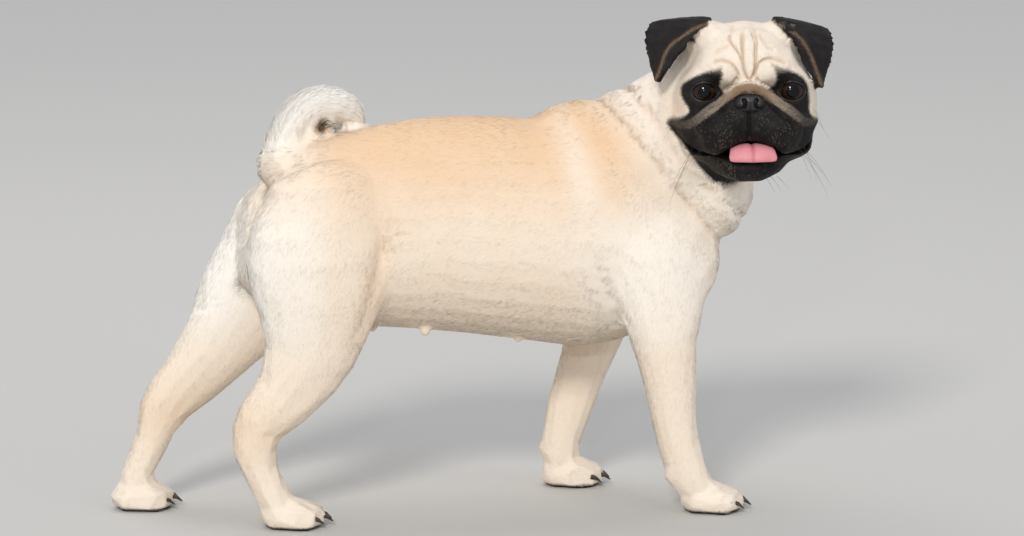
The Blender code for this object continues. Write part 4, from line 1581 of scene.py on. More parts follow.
@dataclass
class Marks:
    """The coat's colours by place: black mask and ears, apricot back, tan folds and pale underside,
    with painted shade on the belly, in the tail's curl, under the tail, behind the thigh and under the
    ears' flaps, and painted sheen and highlight on the ears.
    """

    # Where the painted shadow in the tail's curl is centred, from the curl's middle.
    curl_shift: tuple = (0.002, 0.0, 0.0005)

    def paint(self, surface: Surface, face: FaceForms) -> None:
        """Paints the skin's points.

        Args:
            surface: The skin.
            face: The face's lines and outlines.
        """
        points = surface.points
        local = HEAD.inside(points)
        seen = HEAD.seen(points)
        head = surface.zone(Zone.HEAD)
        ear = smoothstep(surface.zone(Zone.EAR), 0.25, 0.75)
        facing = surface.facing()
        dark = np.zeros(len(points))
        tan = np.zeros(len(points))
        roll = np.zeros(len(points))
        work = (head > 0.02) & (local[:, 0] > -0.06)
        dark[work] = smoothstep(inside_outline(seen[work], smooth_line(face.mask, 3)), -2.6, 2.2)
        dark *= smoothstep(local[:, 0] - 0.20 * np.abs(local[:, 2] + 0.036), -0.056, -0.038) * head
        tan[work] = face.press(seen[work])[1] * smoothstep(facing[work], 0.0, 0.3)
        for line in (face.roll_right, face.roll_left):
            gap, along = from_line(seen[work], smooth_line(line))
            band = (1.0 - smoothstep(gap, 2.0, 4.8)) * (1.0 - 0.45 * smoothstep(along, 0.5, 1.0))
            roll[work] = np.maximum(roll[work], band)
        roll *= smoothstep(facing, -0.1, 0.3)
        roll *= 1.0 - 0.50 * smoothstep(np.abs(seen[:, 0] - 0.3), 7.0, 30.0)
        roll *= Lids().clear(local, 0.0022, 0.0047)
        brow = smoothstep(seen[:, 1], 9.0, 17.0) * (1.0 - smoothstep(seen[:, 1], 24.0, 30.0))
        dark = dark * (1.0 - 0.84 * roll) * (1.0 - 0.45 * brow)
        # The ears' brown: their own brown cast, a painted highlight along the front folds and a painted
        # sheen on the flaps.
        ear_brown_and_sheen = self.ear_tan_and_sheen(seen, facing, face)
        # The ears are black, and so is the skull under their flaps: black hair and painted shade in the gap
        # between flap and skull.
        flap = ear + (1.0 - ear) * head * self.under_flap(seen, local)
        dark = np.maximum(dark, flap * self.ear_black(seen) * (1.0 - ear_brown_and_sheen * ear))
        # The ears take the roll tan for this brown, with its painted sheen and highlight.
        roll = np.maximum(roll * 0.95, ear * smoothstep(ear_brown_and_sheen, 0.0, 0.3))
        # A black corner at the left ear's root: the same black hair and painted shade under the flap.
        corner = smoothstep(seen[:, 0], 24.0, 27.0) * smoothstep(seen[:, 1], 40.5, 43.0) * (head + ear)
        dark = np.maximum(dark, corner * smoothstep(local[:, 0], -0.050, -0.040))
        dark = np.maximum(dark, self.spots_and_shade(points, surface))
        gold, pale = self.tones(surface, seen, local)
        tan = np.maximum(tan, self.neck_lines(surface))
        surface.marks = np.stack([dark, gold, roll, tan], 1)
        black = smoothstep(dark, 0.35, 0.75)
        surface.pale = pale * (1.0 - black) + self.light_hairs(seen, head) * black

    def light_hairs(self, seen: Array, head: Array) -> Array:
        """How many light hairs the mask has: most on the lips, beside the cleft and on the chin."""
        light = np.zeros(len(seen))
        for place, size, much in (
            ((-15.0, -33.0), 7.0, 0.60),
            ((20.0, -31.0), 6.0, 0.60),
            ((-9.0, -17.0), 5.0, 0.35),
            ((10.0, -17.0), 5.0, 0.35),
            ((-14.0, -51.0), 6.0, 0.75),
            ((-12.0, -59.0), 6.0, 0.65),
            ((-26.0, -50.0), 9.0, 0.35),
            ((-28.0, -26.0), 9.0, 0.25),
            ((28.0, -24.0), 8.0, 0.25),
            ((0.0, -63.0), 12.0, 0.30),
        ):
            light = np.maximum(light, much * hump(gap_to(seen, place), size))
        return light * head

    def under_flap(self, seen: Array, local: Array) -> Array:
        """How far a place of the skull is the root under an ear's flap: high up, outside its front edge.
        It is painted black there: the ear's black hair, and painted shade under the flap.
        """
        left = smoothstep(seen[:, 0] - 24.0 + (seen[:, 1] - 40.0) * 1.1, 0.0, 4.0)
        right = smoothstep(-seen[:, 0] - 38.0 - (seen[:, 1] - 40.0) * 0.8, 0.0, 4.0)
        return np.maximum(left, right) * smoothstep(local[:, 2], 0.030, 0.036)

    def ear_black(self, seen: Array) -> Array:
        """How black the ears are: all but the pale hair where they leave the skull."""
        crest = smoothstep(np.abs(seen[:, 0] + 8.0), 11.0, 17.0)
        return 1.0 - (1.0 - crest) * smoothstep(seen[:, 1], 42.0, 47.0) * 0.8

    def ear_tan_and_sheen(self, seen: Array, facing: Array, face: FaceForms) -> Array:
        """How brown the ears are: a tan line along the front fold, partly the inner side's brown and partly
        a painted highlight, and a brown cast on the flap, partly its own colour and partly a painted sheen.
        """
        tan = np.full(len(seen), 0.10)
        for line in (face.ear_rim_right, face.ear_rim_left):
            gap, _ = from_line(seen, smooth_line(line, 4))
            tan = np.maximum(tan, 0.55 * hump(gap, 1.5) * smoothstep(facing, 0.0, 0.3))
        return tan

    def spots_and_shade(self, points: Array, surface: Surface) -> Array:
        """The body's dark places: the pads, a teat, and painted shade in the tail's curl (partly its dark
        hair), under the tail and behind the thigh.
        """
        # The curl's middle is painted near black: painted shadow in the curl, partly the tail's dark hair.
        curl = points - (TAIL_EYE + np.array(self.curl_shift))
        dark = 0.95 * hump(np.hypot(curl[:, 0], curl[:, 2]), 0.0058) * hump(curl[:, 1], 0.016)
        # Painted shade under the tail and behind the thigh, and a dark teat.
        for place, size, much in (
            ((-0.1400, 0.040, 0.2300), 0.0055, 0.60),
            ((-0.1396, 0.038, 0.2240), 0.0045, 0.50),
            ((-0.1590, 0.044, 0.1640), 0.0075, 0.72),
            ((-0.1570, 0.042, 0.1560), 0.0065, 0.60),
            ((-0.0713, 0.004, 0.1405), 0.0060, 0.70),
        ):
            dark = np.maximum(dark, much * hump(gap_to(points, place), size))
        pads = surface.zone(Zone.PAW) * (1.0 - smoothstep(points[:, 2], 0.0010, 0.0045))
        return np.maximum(dark, 0.9 * pads)

    def tones(self, surface: Surface, seen: Array, local: Array) -> tuple[Array, Array]:
        """How apricot and how pale the coat is; the belly is painted less pale, a painted shade.

        Args:
            surface: The skin.
            seen: Places on the face.
            local: Places in the head's axes.

        Returns:
            The apricot and the paleness, each from 0 to 1.
        """
        x, z = surface.points[:, 0], surface.points[:, 2]
        wanted = (Zone.HEAD, Zone.TRUNK, Zone.TAIL, Zone.UPPER, Zone.LOWER)
        head, trunk, tail, upper, lower = (surface.zone(zone) for zone in wanted)
        back = smoothstep(z, 0.185, 0.285) * smoothstep(x, -0.150, -0.080)
        gold = 0.12 + 0.74 * back * (1.0 - smoothstep(x, 0.085, 0.150))
        thigh_front = hump(x + 0.075 - (z - 0.18) * 0.25, 0.014) * smoothstep(0.25 - z, 0.0, 0.05)
        gold += 0.35 * thigh_front * upper
        gold += 0.30 * lower * hump(z - 0.070, 0.022) * smoothstep(-x, 0.10, 0.16)
        gold += 0.25 * lower * hump(z - 0.118, 0.018) * smoothstep(x, 0.0, 0.05)
        gold += 0.60 * tail * hump(gap_to(surface.points, TAIL_EYE), 0.020)
        cheek = head * hump(np.hypot(seen[:, 0] + 49.0, seen[:, 1] + 11.0), 9.0)
        gold += 0.75 * cheek * smoothstep(local[:, 0], -0.06, -0.03)
        pale = 0.20 + 0.75 * tail + 0.12 * head + 0.15 * surface.zone(Zone.PAW)
        pale += 0.40 * upper * smoothstep(0.26 - z, 0.0, 0.06) * smoothstep(np.abs(x + 0.03), 0.07, 0.10)
        ruff = smoothstep((surface.points - AIM) @ NECK_AXIS, 0.105, 0.150)
        pale += 0.30 * ruff * (surface.zone(Zone.NECK) + trunk)
        stripe = hump(x - 0.066 - (0.285 - z) * 0.12, 0.011) * smoothstep(z, 0.195, 0.235)
        pale += 0.15 * stripe * smoothstep(0.290 - z, 0.0, 0.02)
        pale += 0.35 * smoothstep(-x, 0.135, 0.175) * smoothstep(z, 0.10, 0.15)
        # Skin of the trunk that faces down is painted less pale: painted shade on the belly.
        pale -= 0.25 * smoothstep(-surface.normals()[:, 2], 0.0, 0.6) * trunk
        gold *= 1.0 - 0.6 * ruff - 0.3 * stripe
        return np.clip(gold, 0, 1), np.clip(pale, 0, 1)

    def neck_lines(self, surface: Surface) -> Array:
        """How tan the coat is in the neck's folds."""
        deep, soft = neck_rings(surface.points)
        x = surface.points[:, 0]
        near = surface.zone(Zone.NECK) + 0.5 * surface.zone(Zone.TRUNK)
        near *= smoothstep(x, 0.06, 0.1) * smoothstep(0.176 - x, 0.0, 0.014)
        return near * (0.75 * hump(deep, 0.0020) + 0.55 * hump(soft, 0.0016))


@dataclass
class Lie:
    """Which way the hair lies: back and down the body, down the legs, along the tail, away from the nose."""

    def comb(self, surface: Surface) -> None:
        """Sets the lie at each point of the skin, evened out and laid flat on it.

        Args:
            surface: The skin.
        """
        points = surface.points
        local = HEAD.inside(points)
        turn = HEAD.turn()
        count = len(points)
        z = points[:, 2]
        sag = -0.30 - 0.5 * smoothstep(0.26 - z, 0.0, 0.08)
        flank = np.stack([-np.ones(count), np.zeros(count), sag], 1)
        neck = np.tile([-0.70, 0.10, -0.70], (count, 1))
        leg = np.tile([-0.12, 0.0, -1.0], (count, 1))
        thigh = np.tile([-0.35, 0.0, -1.0], (count, 1))
        paw = np.tile([1.0, 0.0, -0.45], (count, 1))
        away = unit(local - np.array((0.020, 0.0, -0.004)))
        lips = np.stack([0.15 * np.ones(count), np.sign(local[:, 1]) * 0.5, -np.ones(count)], 1)
        muzzle = (smoothstep(-local[:, 2], 0.008, 0.016) * smoothstep(local[:, 0], -0.020, -0.005))[:, None]
        head = (away * (1.0 - muzzle) + unit(lips) * muzzle) @ turn.T
        sign = np.sign(local[:, 1])
        ear = np.stack([np.zeros(count), sign * 0.66, -0.75 * np.ones(count)], 1) @ turn.T
        ways = [head, ear, neck, flank, self.along_tail(points), thigh, leg, paw]
        total = sum(way * surface.zones[:, k : k + 1] for k, way in enumerate(ways))
        normals = surface.normals()
        total = surface.net().soften(unit(total), 14, 0.6)
        surface.lie = unit(total - normals * (total * normals).sum(1, keepdims=True))

    def along_tail(self, points: Array) -> Array:
        """The direction of the tail's middle line nearest to each point, from root to tip."""
        line = smooth_line(TAIL_LINE, 4)
        middles = (line[1:] + line[:-1]) / 2
        nearest = np.zeros(len(points), int)
        close = (points[:, 0] < -0.05) & (points[:, 2] > 0.22)
        gaps = np.linalg.norm(points[close, None] - middles, axis=2)
        nearest[close] = gaps.argmin(1)
        return unit(line[1:] - line[:-1])[nearest]


# The coat


@dataclass(frozen=True)
class Growth:
    """One zone's tufts: how long and wide they are, how far they stand out, and how many to a square mm."""

    length: float
    width: float
    rise: float
    many: float


@dataclass
class Coat:
    """Short overlapping tufts over the skin, in pieces by part of the body."""

    tufts: int = 146000
    most_in_piece: int = 19500
    ridge: float = 0.09
    patch_size: float = 0.003
    seed: int = 7
    growth: tuple = (
        Growth(3.2 * MM, 0.36 * MM, 0.10, 1.20),
        Growth(1.1 * MM, 0.30 * MM, 0.05, 2.10),
        Growth(4.4 * MM, 0.44 * MM, 0.045, 0.80),
        Growth(4.8 * MM, 0.46 * MM, 0.042, 0.56),
        Growth(7.5 * MM, 0.44 * MM, 0.060, 1.40),
        Growth(4.8 * MM, 0.44 * MM, 0.045, 0.64),
        Growth(3.6 * MM, 0.40 * MM, 0.065, 0.80),
        Growth(2.4 * MM, 0.36 * MM, 0.090, 1.20),
    )
    face: Growth = Growth(2.0 * MM, 0.32 * MM, 0.22, 3.2)
    names: tuple = (
        "face",
        "skull",
        "ears",
        "neck",
        "right_side",
        "left_side",
        "tail",
        "thighs",
        "legs",
        "paws",
    )

    def fields(self, surface: Surface) -> Array:
        """Length, width, rise and number of tufts at each point of the skin.

        Args:
            surface: The skin.

        Returns:
            Four numbers to a row.
        """
        table = np.array([(g.length, g.width, g.rise, g.many) for g in self.growth])
        values = np.clip(surface.zones, 0, 1) @ table / np.maximum(surface.zones.sum(1, keepdims=True), 1e-6)
        local = HEAD.inside(surface.points)
        fine = smoothstep(local[:, 0], -0.036, -0.016) * surface.zone(Zone.HEAD)
        face = np.array((self.face.length, self.face.width, self.face.rise, self.face.many))
        values = values * (1.0 - fine[:, None]) + face * fine[:, None]
        normals = surface.normals()
        rear = smoothstep(-normals[:, 0], 0.35, 0.85) * (surface.zone(Zone.UPPER) + surface.zone(Zone.TRUNK))
        behind = smoothstep(-normals[:, 0], 0.45, 0.9) * surface.zone(Zone.LOWER)
        outer = surface.zone(Zone.TAIL) * smoothstep(-normals[:, 0] + 0.4 * normals[:, 2], 0.2, 0.9)
        belly = smoothstep(-normals[:, 2], 0.3, 0.8) * surface.zone(Zone.TRUNK)
        values[:, 2] += 0.09 * rear + 0.07 * behind + 0.09 * outer + 0.05 * belly
        values[:, 0] *= 1.0 + 0.25 * rear + 0.20 * outer
        edge = 1.0 - smoothstep(np.abs(surface.facing()), 0.25, 0.60)
        net = surface.net()
        for _ in range(8):
            edge = np.maximum(edge, net.mean(edge[:, None])[:, 0] * 1.1)
        values[:, 0] *= 1.0 - 0.60 * np.clip(edge, 0, 1) * surface.zone(Zone.EAR)
        for teat in Skin().teats:
            values[:, 3] *= smoothstep(gap_to(surface.points, teat), 0.006, 0.010)
        clear = Lids().clear(local, 0.0008, 0.0040)
        values[:, 3] *= clear
        values[:, 0] *= 1.0 - 0.55 * (1.0 - clear)
        soles = surface.zone(Zone.PAW) * (1.0 - smoothstep(surface.points[:, 2], 0.0012, 0.0035))
        mouth = (local[:, 0] < 0.012) & (np.abs(local[:, 2] + 0.042) < 0.009) & (np.abs(local[:, 1]) < 0.045)
        hidden = mouth & (surface.zone(Zone.HEAD) > 0.5) & (np.abs(normals @ HEAD.turn()[:, 2]) > 0.75)
        nose = np.linalg.norm((local - np.array(Nose().middle)) / np.array(Nose().radii), axis=1)
        values[:, 3] *= (1.0 - soles) * np.where(hidden, 0.0, 1.0) * smoothstep(nose, 1.0, 1.15)
        return values

    def build(self, surface: Surface) -> list[bpy.types.Object]:
        """Makes the tufts' pieces.

        Roots are spread over the skin by area and by how many tufts its places have, and every tuft takes
        the skin's marks at its root.

        Args:
            surface: The skin.

        Returns:
            The pieces.
        """
        dice = np.random.default_rng(self.seed)
        values = self.fields(surface)
        a, b, c = (surface.points[surface.faces[:, k]] for k in range(3))
        area = np.linalg.norm(np.cross(b - a, c - a), axis=1) / 2
        crowd = area * values[surface.faces, 3].mean(1)
        order = np.argsort(self.piece_of(surface)[surface.faces[:, 0]], kind="stable")
        reach = np.cumsum(crowd[order])
        picks = (np.arange(self.tufts) + dice.random(self.tufts)) / self.tufts * reach[-1]
        chosen = order[np.minimum(np.searchsorted(reach, picks), len(order) - 1)]
        u = np.sqrt(dice.random(self.tufts))[:, None]
        v = dice.random(self.tufts)[:, None]
        share = np.concatenate([1 - u, u * (1 - v), u * v], 1)
        corners = surface.faces[chosen]
        whose = self.piece_of(surface)[corners[:, 0]]

        def read(layer: Array) -> Array:
            """The skin's values at the roots."""
            return (layer[corners] * share[..., None]).sum(1)

        roots = read(surface.points)
        normals = unit(read(surface.normals()))
        sheet = Unwrap(surface).spread(roots, normals, surface.nodes[corners[:, 0]])
        data = [roots, normals, read(surface.lie), read(surface.marks), read(surface.pale[:, None])]
        data += [read(values), sheet]
        pieces = []
        for number in range(int(whose.max()) + 1):
            own = np.flatnonzero(whose == number)
            parts = max(1, math.ceil(len(own) / self.most_in_piece))
            for part, rows in enumerate(np.array_split(own, parts)):
                if len(rows):
                    name = f"coat_{self.names[number]}_{part + 1}"
                    pieces.append(self.tuft_piece(name, [layer[rows] for layer in data], dice))
                    log.info("%s: %d tufts", name, len(rows))
        return pieces

    def piece_of(self, surface: Surface) -> Array:
        """The number of the piece that each point's tufts belong to."""
        zone = surface.zones.argmax(1)
        numbers = np.array([1, 2, 3, 4, 6, 7, 8, 9])[zone]
        face = (zone == 0) & (HEAD.inside(surface.points)[:, 0] > -0.026)
        left = (zone == 3) & (surface.points[:, 1] > AIM[1])
        return np.where(face, 0, np.where(left, 5, numbers))

    def tuft_piece(self, name: str, data: list[Array], dice: np.random.Generator) -> bpy.types.Object:
        """One piece of the coat.

        A tuft is a thin three-sided blade. Its middle line leaves the root a little under the skin, rises
        by its share of the length and bends back down by the square of the way along, and swings to one
        side by the same square. It is widest in the middle and ends in a point.

        Args:
            name: The piece's name.
            data: Roots, directions out, lie, marks, paleness, fields and places on the sheet.
            dice: The source of chance.

        Returns:
            The piece.
        """
        roots, out, lie, marks, pale, values, sheet = data
        count = len(roots)
        swing = dice.normal(0.0, 0.20, (count, 1))
        across = np.cross(out, lie)
        ahead = unit(lie * np.cos(swing) + across * np.sin(swing))
        across = unit(np.cross(out, ahead))
        length = values[:, 0:1] * dice.uniform(0.75, 1.20, (count, 1))
        width = values[:, 1:2] * dice.uniform(0.75, 1.25, (count, 1))
        rise = values[:, 2:3] * dice.uniform(0.55, 1.35, (count, 1))
        bend = dice.normal(0.0, 0.10, (count, 1))
        rings = []
        for step, wide in ((0.0, 0.75), (0.5, 1.0)):
            middle = roots + ahead * length * step + across * length * bend * step**2
            sunk = 0.00006 + 0.5 * self.ridge * width
            middle = middle + out * (length * rise * (1.9 * step - 1.5 * step**2) - sunk)
            half = across * width * wide / 2
            rings += [middle - half, middle + half, middle + out * width * wide * self.ridge]
        tip = roots + ahead * length + across * length * bend + out * (length * rise * 0.40 - sunk)
        points = np.stack(rings + [tip], 1).reshape(-1, 3)
        points[:, 2] = np.maximum(points[:, 2], FLOOR_GAP)
        blade = np.array(
            [(0, 2, 1)]
            + [(k, (k + 1) % 3, (k + 1) % 3 + 3) for k in range(3)]
            + [(k, (k + 1) % 3 + 3, k + 3) for k in range(3)]
            + [(k + 3, (k + 1) % 3 + 3, 6) for k in range(3)]
        )
        faces = (blade[None] + 7 * np.arange(count)[:, None, None]).reshape(-1, 3)
        piece = make_mesh(name, points, faces)
        shade = unit(out + dice.normal(0.0, 0.10, (count, 3)))
        layer = piece.data.attributes.new("custom_normal", "FLOAT_VECTOR", "POINT")
        layer.data.foreach_set("vector", np.repeat(shade, 7, axis=0).astype(np.float32).ravel())
        tint = np.repeat(dice.random(count), 7)
        climb = np.tile([0, 0, 0, 0.5, 0.5, 0.5, 1.0], count)
        paint_points(piece, "marks", np.repeat(marks, 7, axis=0))
        paint_points(piece, "strand", np.stack([tint, climb, np.repeat(pale[:, 0], 7), 0 * tint], 1))
        side = np.tile([-0.5, 0.5, 0, -0.5, 0.5, 0, 0], count)
        patch = np.repeat(sheet, 7, axis=0) + np.stack([side, climb - 0.5], 1) * self.patch_size
        layer = piece.data.uv_layers.new(name="OFBake")
        layer.data.foreach_set("uv", patch[faces.ravel()].astype(np.float32).ravel())
        return piece


@dataclass
class Unwrap:
    """The skin's shape laid out flat: each part has its own field of the sheet."""

    surface: Surface

    def spread(self, points: Array, normals: Array, nodes: Array) -> Array:
        """Where places of the skin lie on the sheet.

        The head is laid out by longitude and latitude, each ear as two flat sheets, the trunk, the neck and
        the tail as tubes unrolled along their lines, and each leg with its paw as an upright tube.

        Args:
            points: Places of the skin.
            normals: The directions out of it there.
            nodes: The node that each belongs to.

        Returns:
            Places on the sheet, from 0 to 1.
        """
        names = [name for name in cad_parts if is_flesh(name)]
        local = HEAD.inside(points)
        sheet = np.zeros((len(points), 2))
        for number, name in enumerate(names):
            own = nodes == number
            if own.any():
                tile, across, up = self.place(name, points[own], local[own], normals[own])
                for axis, (step, value, count) in enumerate(((tile % 4, across, 4), (tile // 4, up, 3))):
                    sheet[own, axis] = (step + 0.03 + 0.94 * np.clip(value, 0, 1)) / count
        return sheet

    def place(self, name: str, points: Array, local: Array, normals: Array) -> tuple[int, Array, Array]:
        """The field of one node, and places across and up in it.

        Args:
            name: The node's name.
            points: Its places.
            local: The same in the head's axes.
            normals: The directions out of the skin there.

        Returns:
            The field's number, and the places across and up from 0 to 1.
        """
        x, y, z = points.T
        if name in Zone.HEAD.value:
            offset = unit(local - np.array((-0.034, 0.0, -0.010)))
            return 0, self.round(offset[:, 1], offset[:, 0]), np.arccos(-offset[:, 2]) / np.pi
        if name.startswith("ear"):
            front = ((normals @ HEAD.turn())[:, 0] > 0).astype(float)
            across = np.clip((np.abs(local[:, 1]) - 0.015) / 0.060, 0, 1)
            return 1 + name.endswith("left"), (front + across) / 2, (local[:, 2] + 0.005) / 0.060
        if name == "neck":
            offset = points - np.array((0.150, 0.0, 0.270))
            around = self.round(offset @ np.array((0.05, 1.0, 0.0)), offset @ np.array((-0.66, 0.03, 0.75)))
            return 3, around, (offset @ NECK_AXIS + 0.070) / 0.110
        if name == "trunk":
            return 4, self.round(y - AIM[1], z - 0.210), (x + 0.16) / 0.33
        if name == "tail":
            line = smooth_line(TAIL_LINE, 4)
            _, along = from_line(points, line)
            steps = np.linspace(0, 1, len(line))
            middle = np.stack([np.interp(along, steps, line[:, k]) for k in range(3)], 1)
            outer = gap_to(points, TAIL_EYE) - gap_to(middle, TAIL_EYE)
            return 5, self.round((points - middle)[:, 1], outer), along
        tile = 6 + 2 * ("left" in name) + (name.startswith(("thigh", "lower", "metatarsus", "hindpaw")))
        middle = (np.array(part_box(name)[0]) + np.array(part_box(name)[1])) / 2
        return tile, self.round(y - middle[1], x - middle[0]), z / 0.25

    def round(self, across: Array, ahead: Array) -> Array:
        """The direction round a middle line, from 0 to 1."""
        return np.arctan2(across, ahead) / (2 * np.pi) + 0.5


# Eyes, nose, tongue, claws and whiskers


@dataclass
class Eye:
    """One eyeball with its cornea, and the wet edge of its lids."""

    side: Side
    toe_out: float = 3.0

    def build(self) -> list[bpy.types.Object]:
        """Makes the ball and the lids' edge.

        The ball's radius grows by a low dome within half a radian of the line of sight, for the cornea.

        Returns:
            The ball and the edge.
        """
        name = f"eye_{self.side.name.lower()}"
        ways = ball_directions(64, 96)
        tilt = np.arccos(np.clip(ways[..., 0], -1, 1))
        radius = EYE_RADIUS - 0.00015 + 0.00030 * (1.0 - smoothstep(tilt, 0.40, 0.80))
        swing = math.radians(self.toe_out) * self.side.value
        turn = np.array(Matrix.Rotation(swing, 3, "Z"))
        local = (ways @ turn.T) * radius[..., None] + Lids().centre(self.side)
        ball = head_solid(name.replace("eye", "eyeball"), local)
        gaze = np.stack([ways[..., 1], ways[..., 2], tilt, np.ones_like(tilt)], 2)
        inner = gaze[1:-1].reshape(-1, 4)
        paint_points(ball, "gaze", np.vstack([inner, [[0, 0, 0, 1]], [[0, 0, np.pi, 1]]]))
        ball.data.materials.append(EyeFinish().material(f"{name}_finish"))
        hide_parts(name)
        return [ball, self.lid_edge()]

    def lid_edge(self) -> bpy.types.Object:
        """The lids' wet edge: a thin ring that follows the opening on the ball.

        Returns:
            The ring's object.
        """
        lids = Lids()
        turn = np.linspace(-np.pi, np.pi, 120, endpoint=False)
        small = np.linspace(0, 2 * np.pi, 10, endpoint=False)
        tilt = (lids.edge(turn) + 0.030)[:, None] + 0.055 * np.cos(small)
        radius = EYE_RADIUS + 0.00035 + 0.00060 * np.sin(small)
        ring = np.sin(tilt)
        local = np.stack([np.cos(tilt), ring * np.cos(turn)[:, None], ring * np.sin(turn)[:, None]], 2)
        local = local * radius[None, :, None] + lids.centre(self.side)
        points = HEAD.outside(local.reshape(-1, 3))
        rows, sides = local.shape[:2]
        a = (np.arange(rows) * sides)[:, None] + np.arange(sides)
        b = (np.arange(rows) * sides)[:, None] + (np.arange(sides) + 1) % sides
        c = np.roll(a, -1, axis=0)
        d = np.roll(b, -1, axis=0)
        faces = np.vstack([np.stack([a, b, d], 2).reshape(-1, 3), np.stack([a, d, c], 2).reshape(-1, 3)])
        piece = make_mesh(f"lid_edge_{self.side.name.lower()}", points, outward(points, faces))
        finish = LeatherFinish(tone=paint(26, 22, 22), light=paint(58, 50, 48), grain=2600.0, wet=0.5)
        piece.data.materials.append(finish.material(f"lid_edge_{self.side.name.lower()}_finish"))
        return piece


@dataclass
class Nose:
    """The nose leather with its two comma-shaped nostrils and the cleft below."""

    middle: tuple = (0.0108, -0.0006, -0.0064)
    radii: tuple = (0.0102, 0.0114, 0.0074)
    comma: tuple = ((4.4, 2.0), (3.5, -0.6), (4.2, -3.0), (6.6, -4.2), (9.6, -4.4))
    boxiness: float = 0.88

    def build(self) -> bpy.types.Object:
        """Makes the nose.

        It is a rounded box of a ball: each axis of a direction is raised to a power under 1. A nostril is
        pressed in along its comma, 3.4 mm deep and shallower outwards, in a bell 1.15 mm wide, the wing
        beside it swells, and a narrow groove runs down the middle.

        Returns:
            The nose's object.
        """
        ways = ball_directions(90, 140)
        shape = np.sign(ways) * np.abs(ways) ** self.boxiness
        local = shape * np.array(self.radii)
        flat = local[..., 1:].reshape(-1, 2) / MM
        depth = np.zeros(len(flat))
        for sign in (-1, 1):
            gap, along = from_line(flat, smooth_line([(sign * a, b) for a, b in self.comma]))
            wide = 1.15 - 0.45 * smoothstep(along, 0.3, 0.9)
            depth += (3.4 - 2.4 * smoothstep(along, 0.35, 1.0)) * hump(gap, wide)
            depth -= 0.8 * hump(gap_to(flat, (sign * 6.8, -0.6)), 2.4)
        depth += 0.9 * hump(flat[:, 0], 0.7) * smoothstep(1.5 - flat[:, 1], 0.0, 2.5)
        front = smoothstep(ways[..., 0], 0.0, 0.4)
        local[..., 0] -= depth.reshape(front.shape) * front * MM
        piece = head_solid("nose_leather", local + np.array(self.middle))
        # How deep the nostrils are, kept for the painted shade inside them.
        hole = smoothstep(depth, 0.9, 2.2).reshape(front.shape)[1:-1].ravel()
        paint_points(piece, "hole", np.stack([np.concatenate([hole, [0, 0]])] * 4, 1))
        piece.data.materials.append(LeatherFinish().material("nose_finish"))
        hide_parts("nose")
        return piece


@dataclass
class Tongue:
    """The tongue, lying over the lower lip, with a groove down its middle."""

    line: tuple = (
        (-0.0160, 0.0000, -0.0405),
        (-0.0020, 0.0006, -0.0382),
        (0.0090, 0.0010, -0.0372),
        (0.0160, 0.0012, -0.0388),
        (0.0194, 0.0014, -0.0435),
        (0.0198, 0.0016, -0.0478),
    )
    widths: tuple = (0.0105, 0.0138, 0.0150, 0.0156, 0.0166, 0.0160)

    def build(self) -> bpy.types.Object:
        """Makes the tongue.

        A flat rounded section is carried along the middle line; its top sinks to a groove in the middle,
        and its edges curl down a little.

        Returns:
            The tongue's object.
        """
        path = smooth_line(self.line, 10)
        steps = np.linspace(0, 1, len(path))
        wide = np.interp(steps, np.linspace(0, 1, len(self.widths)), self.widths)
        wide = wide * np.sqrt(np.clip(1.0 - (np.clip(steps - 0.90, 0, 1) / 0.104) ** 4, 0.12, 1))
        ahead = unit(np.gradient(path, axis=0))
        across = np.tile([0.0, 1.0, 0.0], (len(path), 1))
        up = np.cross(ahead, across)
        angle = np.linspace(0, 2 * np.pi, 72, endpoint=False)
        side = np.sign(np.cos(angle)) * np.abs(np.cos(angle)) ** 0.80
        lift = np.sign(np.sin(angle)) * np.abs(np.sin(angle)) ** 0.90 * 0.00215
        top = smoothstep(np.sin(angle), 0.0, 0.5)
        groove = hump(side, 0.10) * top * 0.0011
        height = lift - groove - 0.0016 * np.abs(side) ** 2.5
        thin = np.sqrt(np.clip(1.0 - (np.clip(steps - 0.86, 0, 1) / 0.145) ** 3, 0.10, 1))
        rings = path[:, None] + across[:, None] * (side[None] * wide[:, None])[..., None]
        rings = rings + up[:, None] * (height[None] * thin[:, None])[..., None]
        piece = head_solid("tongue_flesh", rings)
        # The middle groove is kept for the painted shade along it.
        line = np.tile(hump(side, 0.09) * top, len(path) - 2)
        paint_points(piece, "groove", np.stack([np.concatenate([line, [0, 0]])] * 4, 1))
        piece.data.materials.append(TongueFinish().material("tongue_finish"))
        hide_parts("tongue")
        return piece


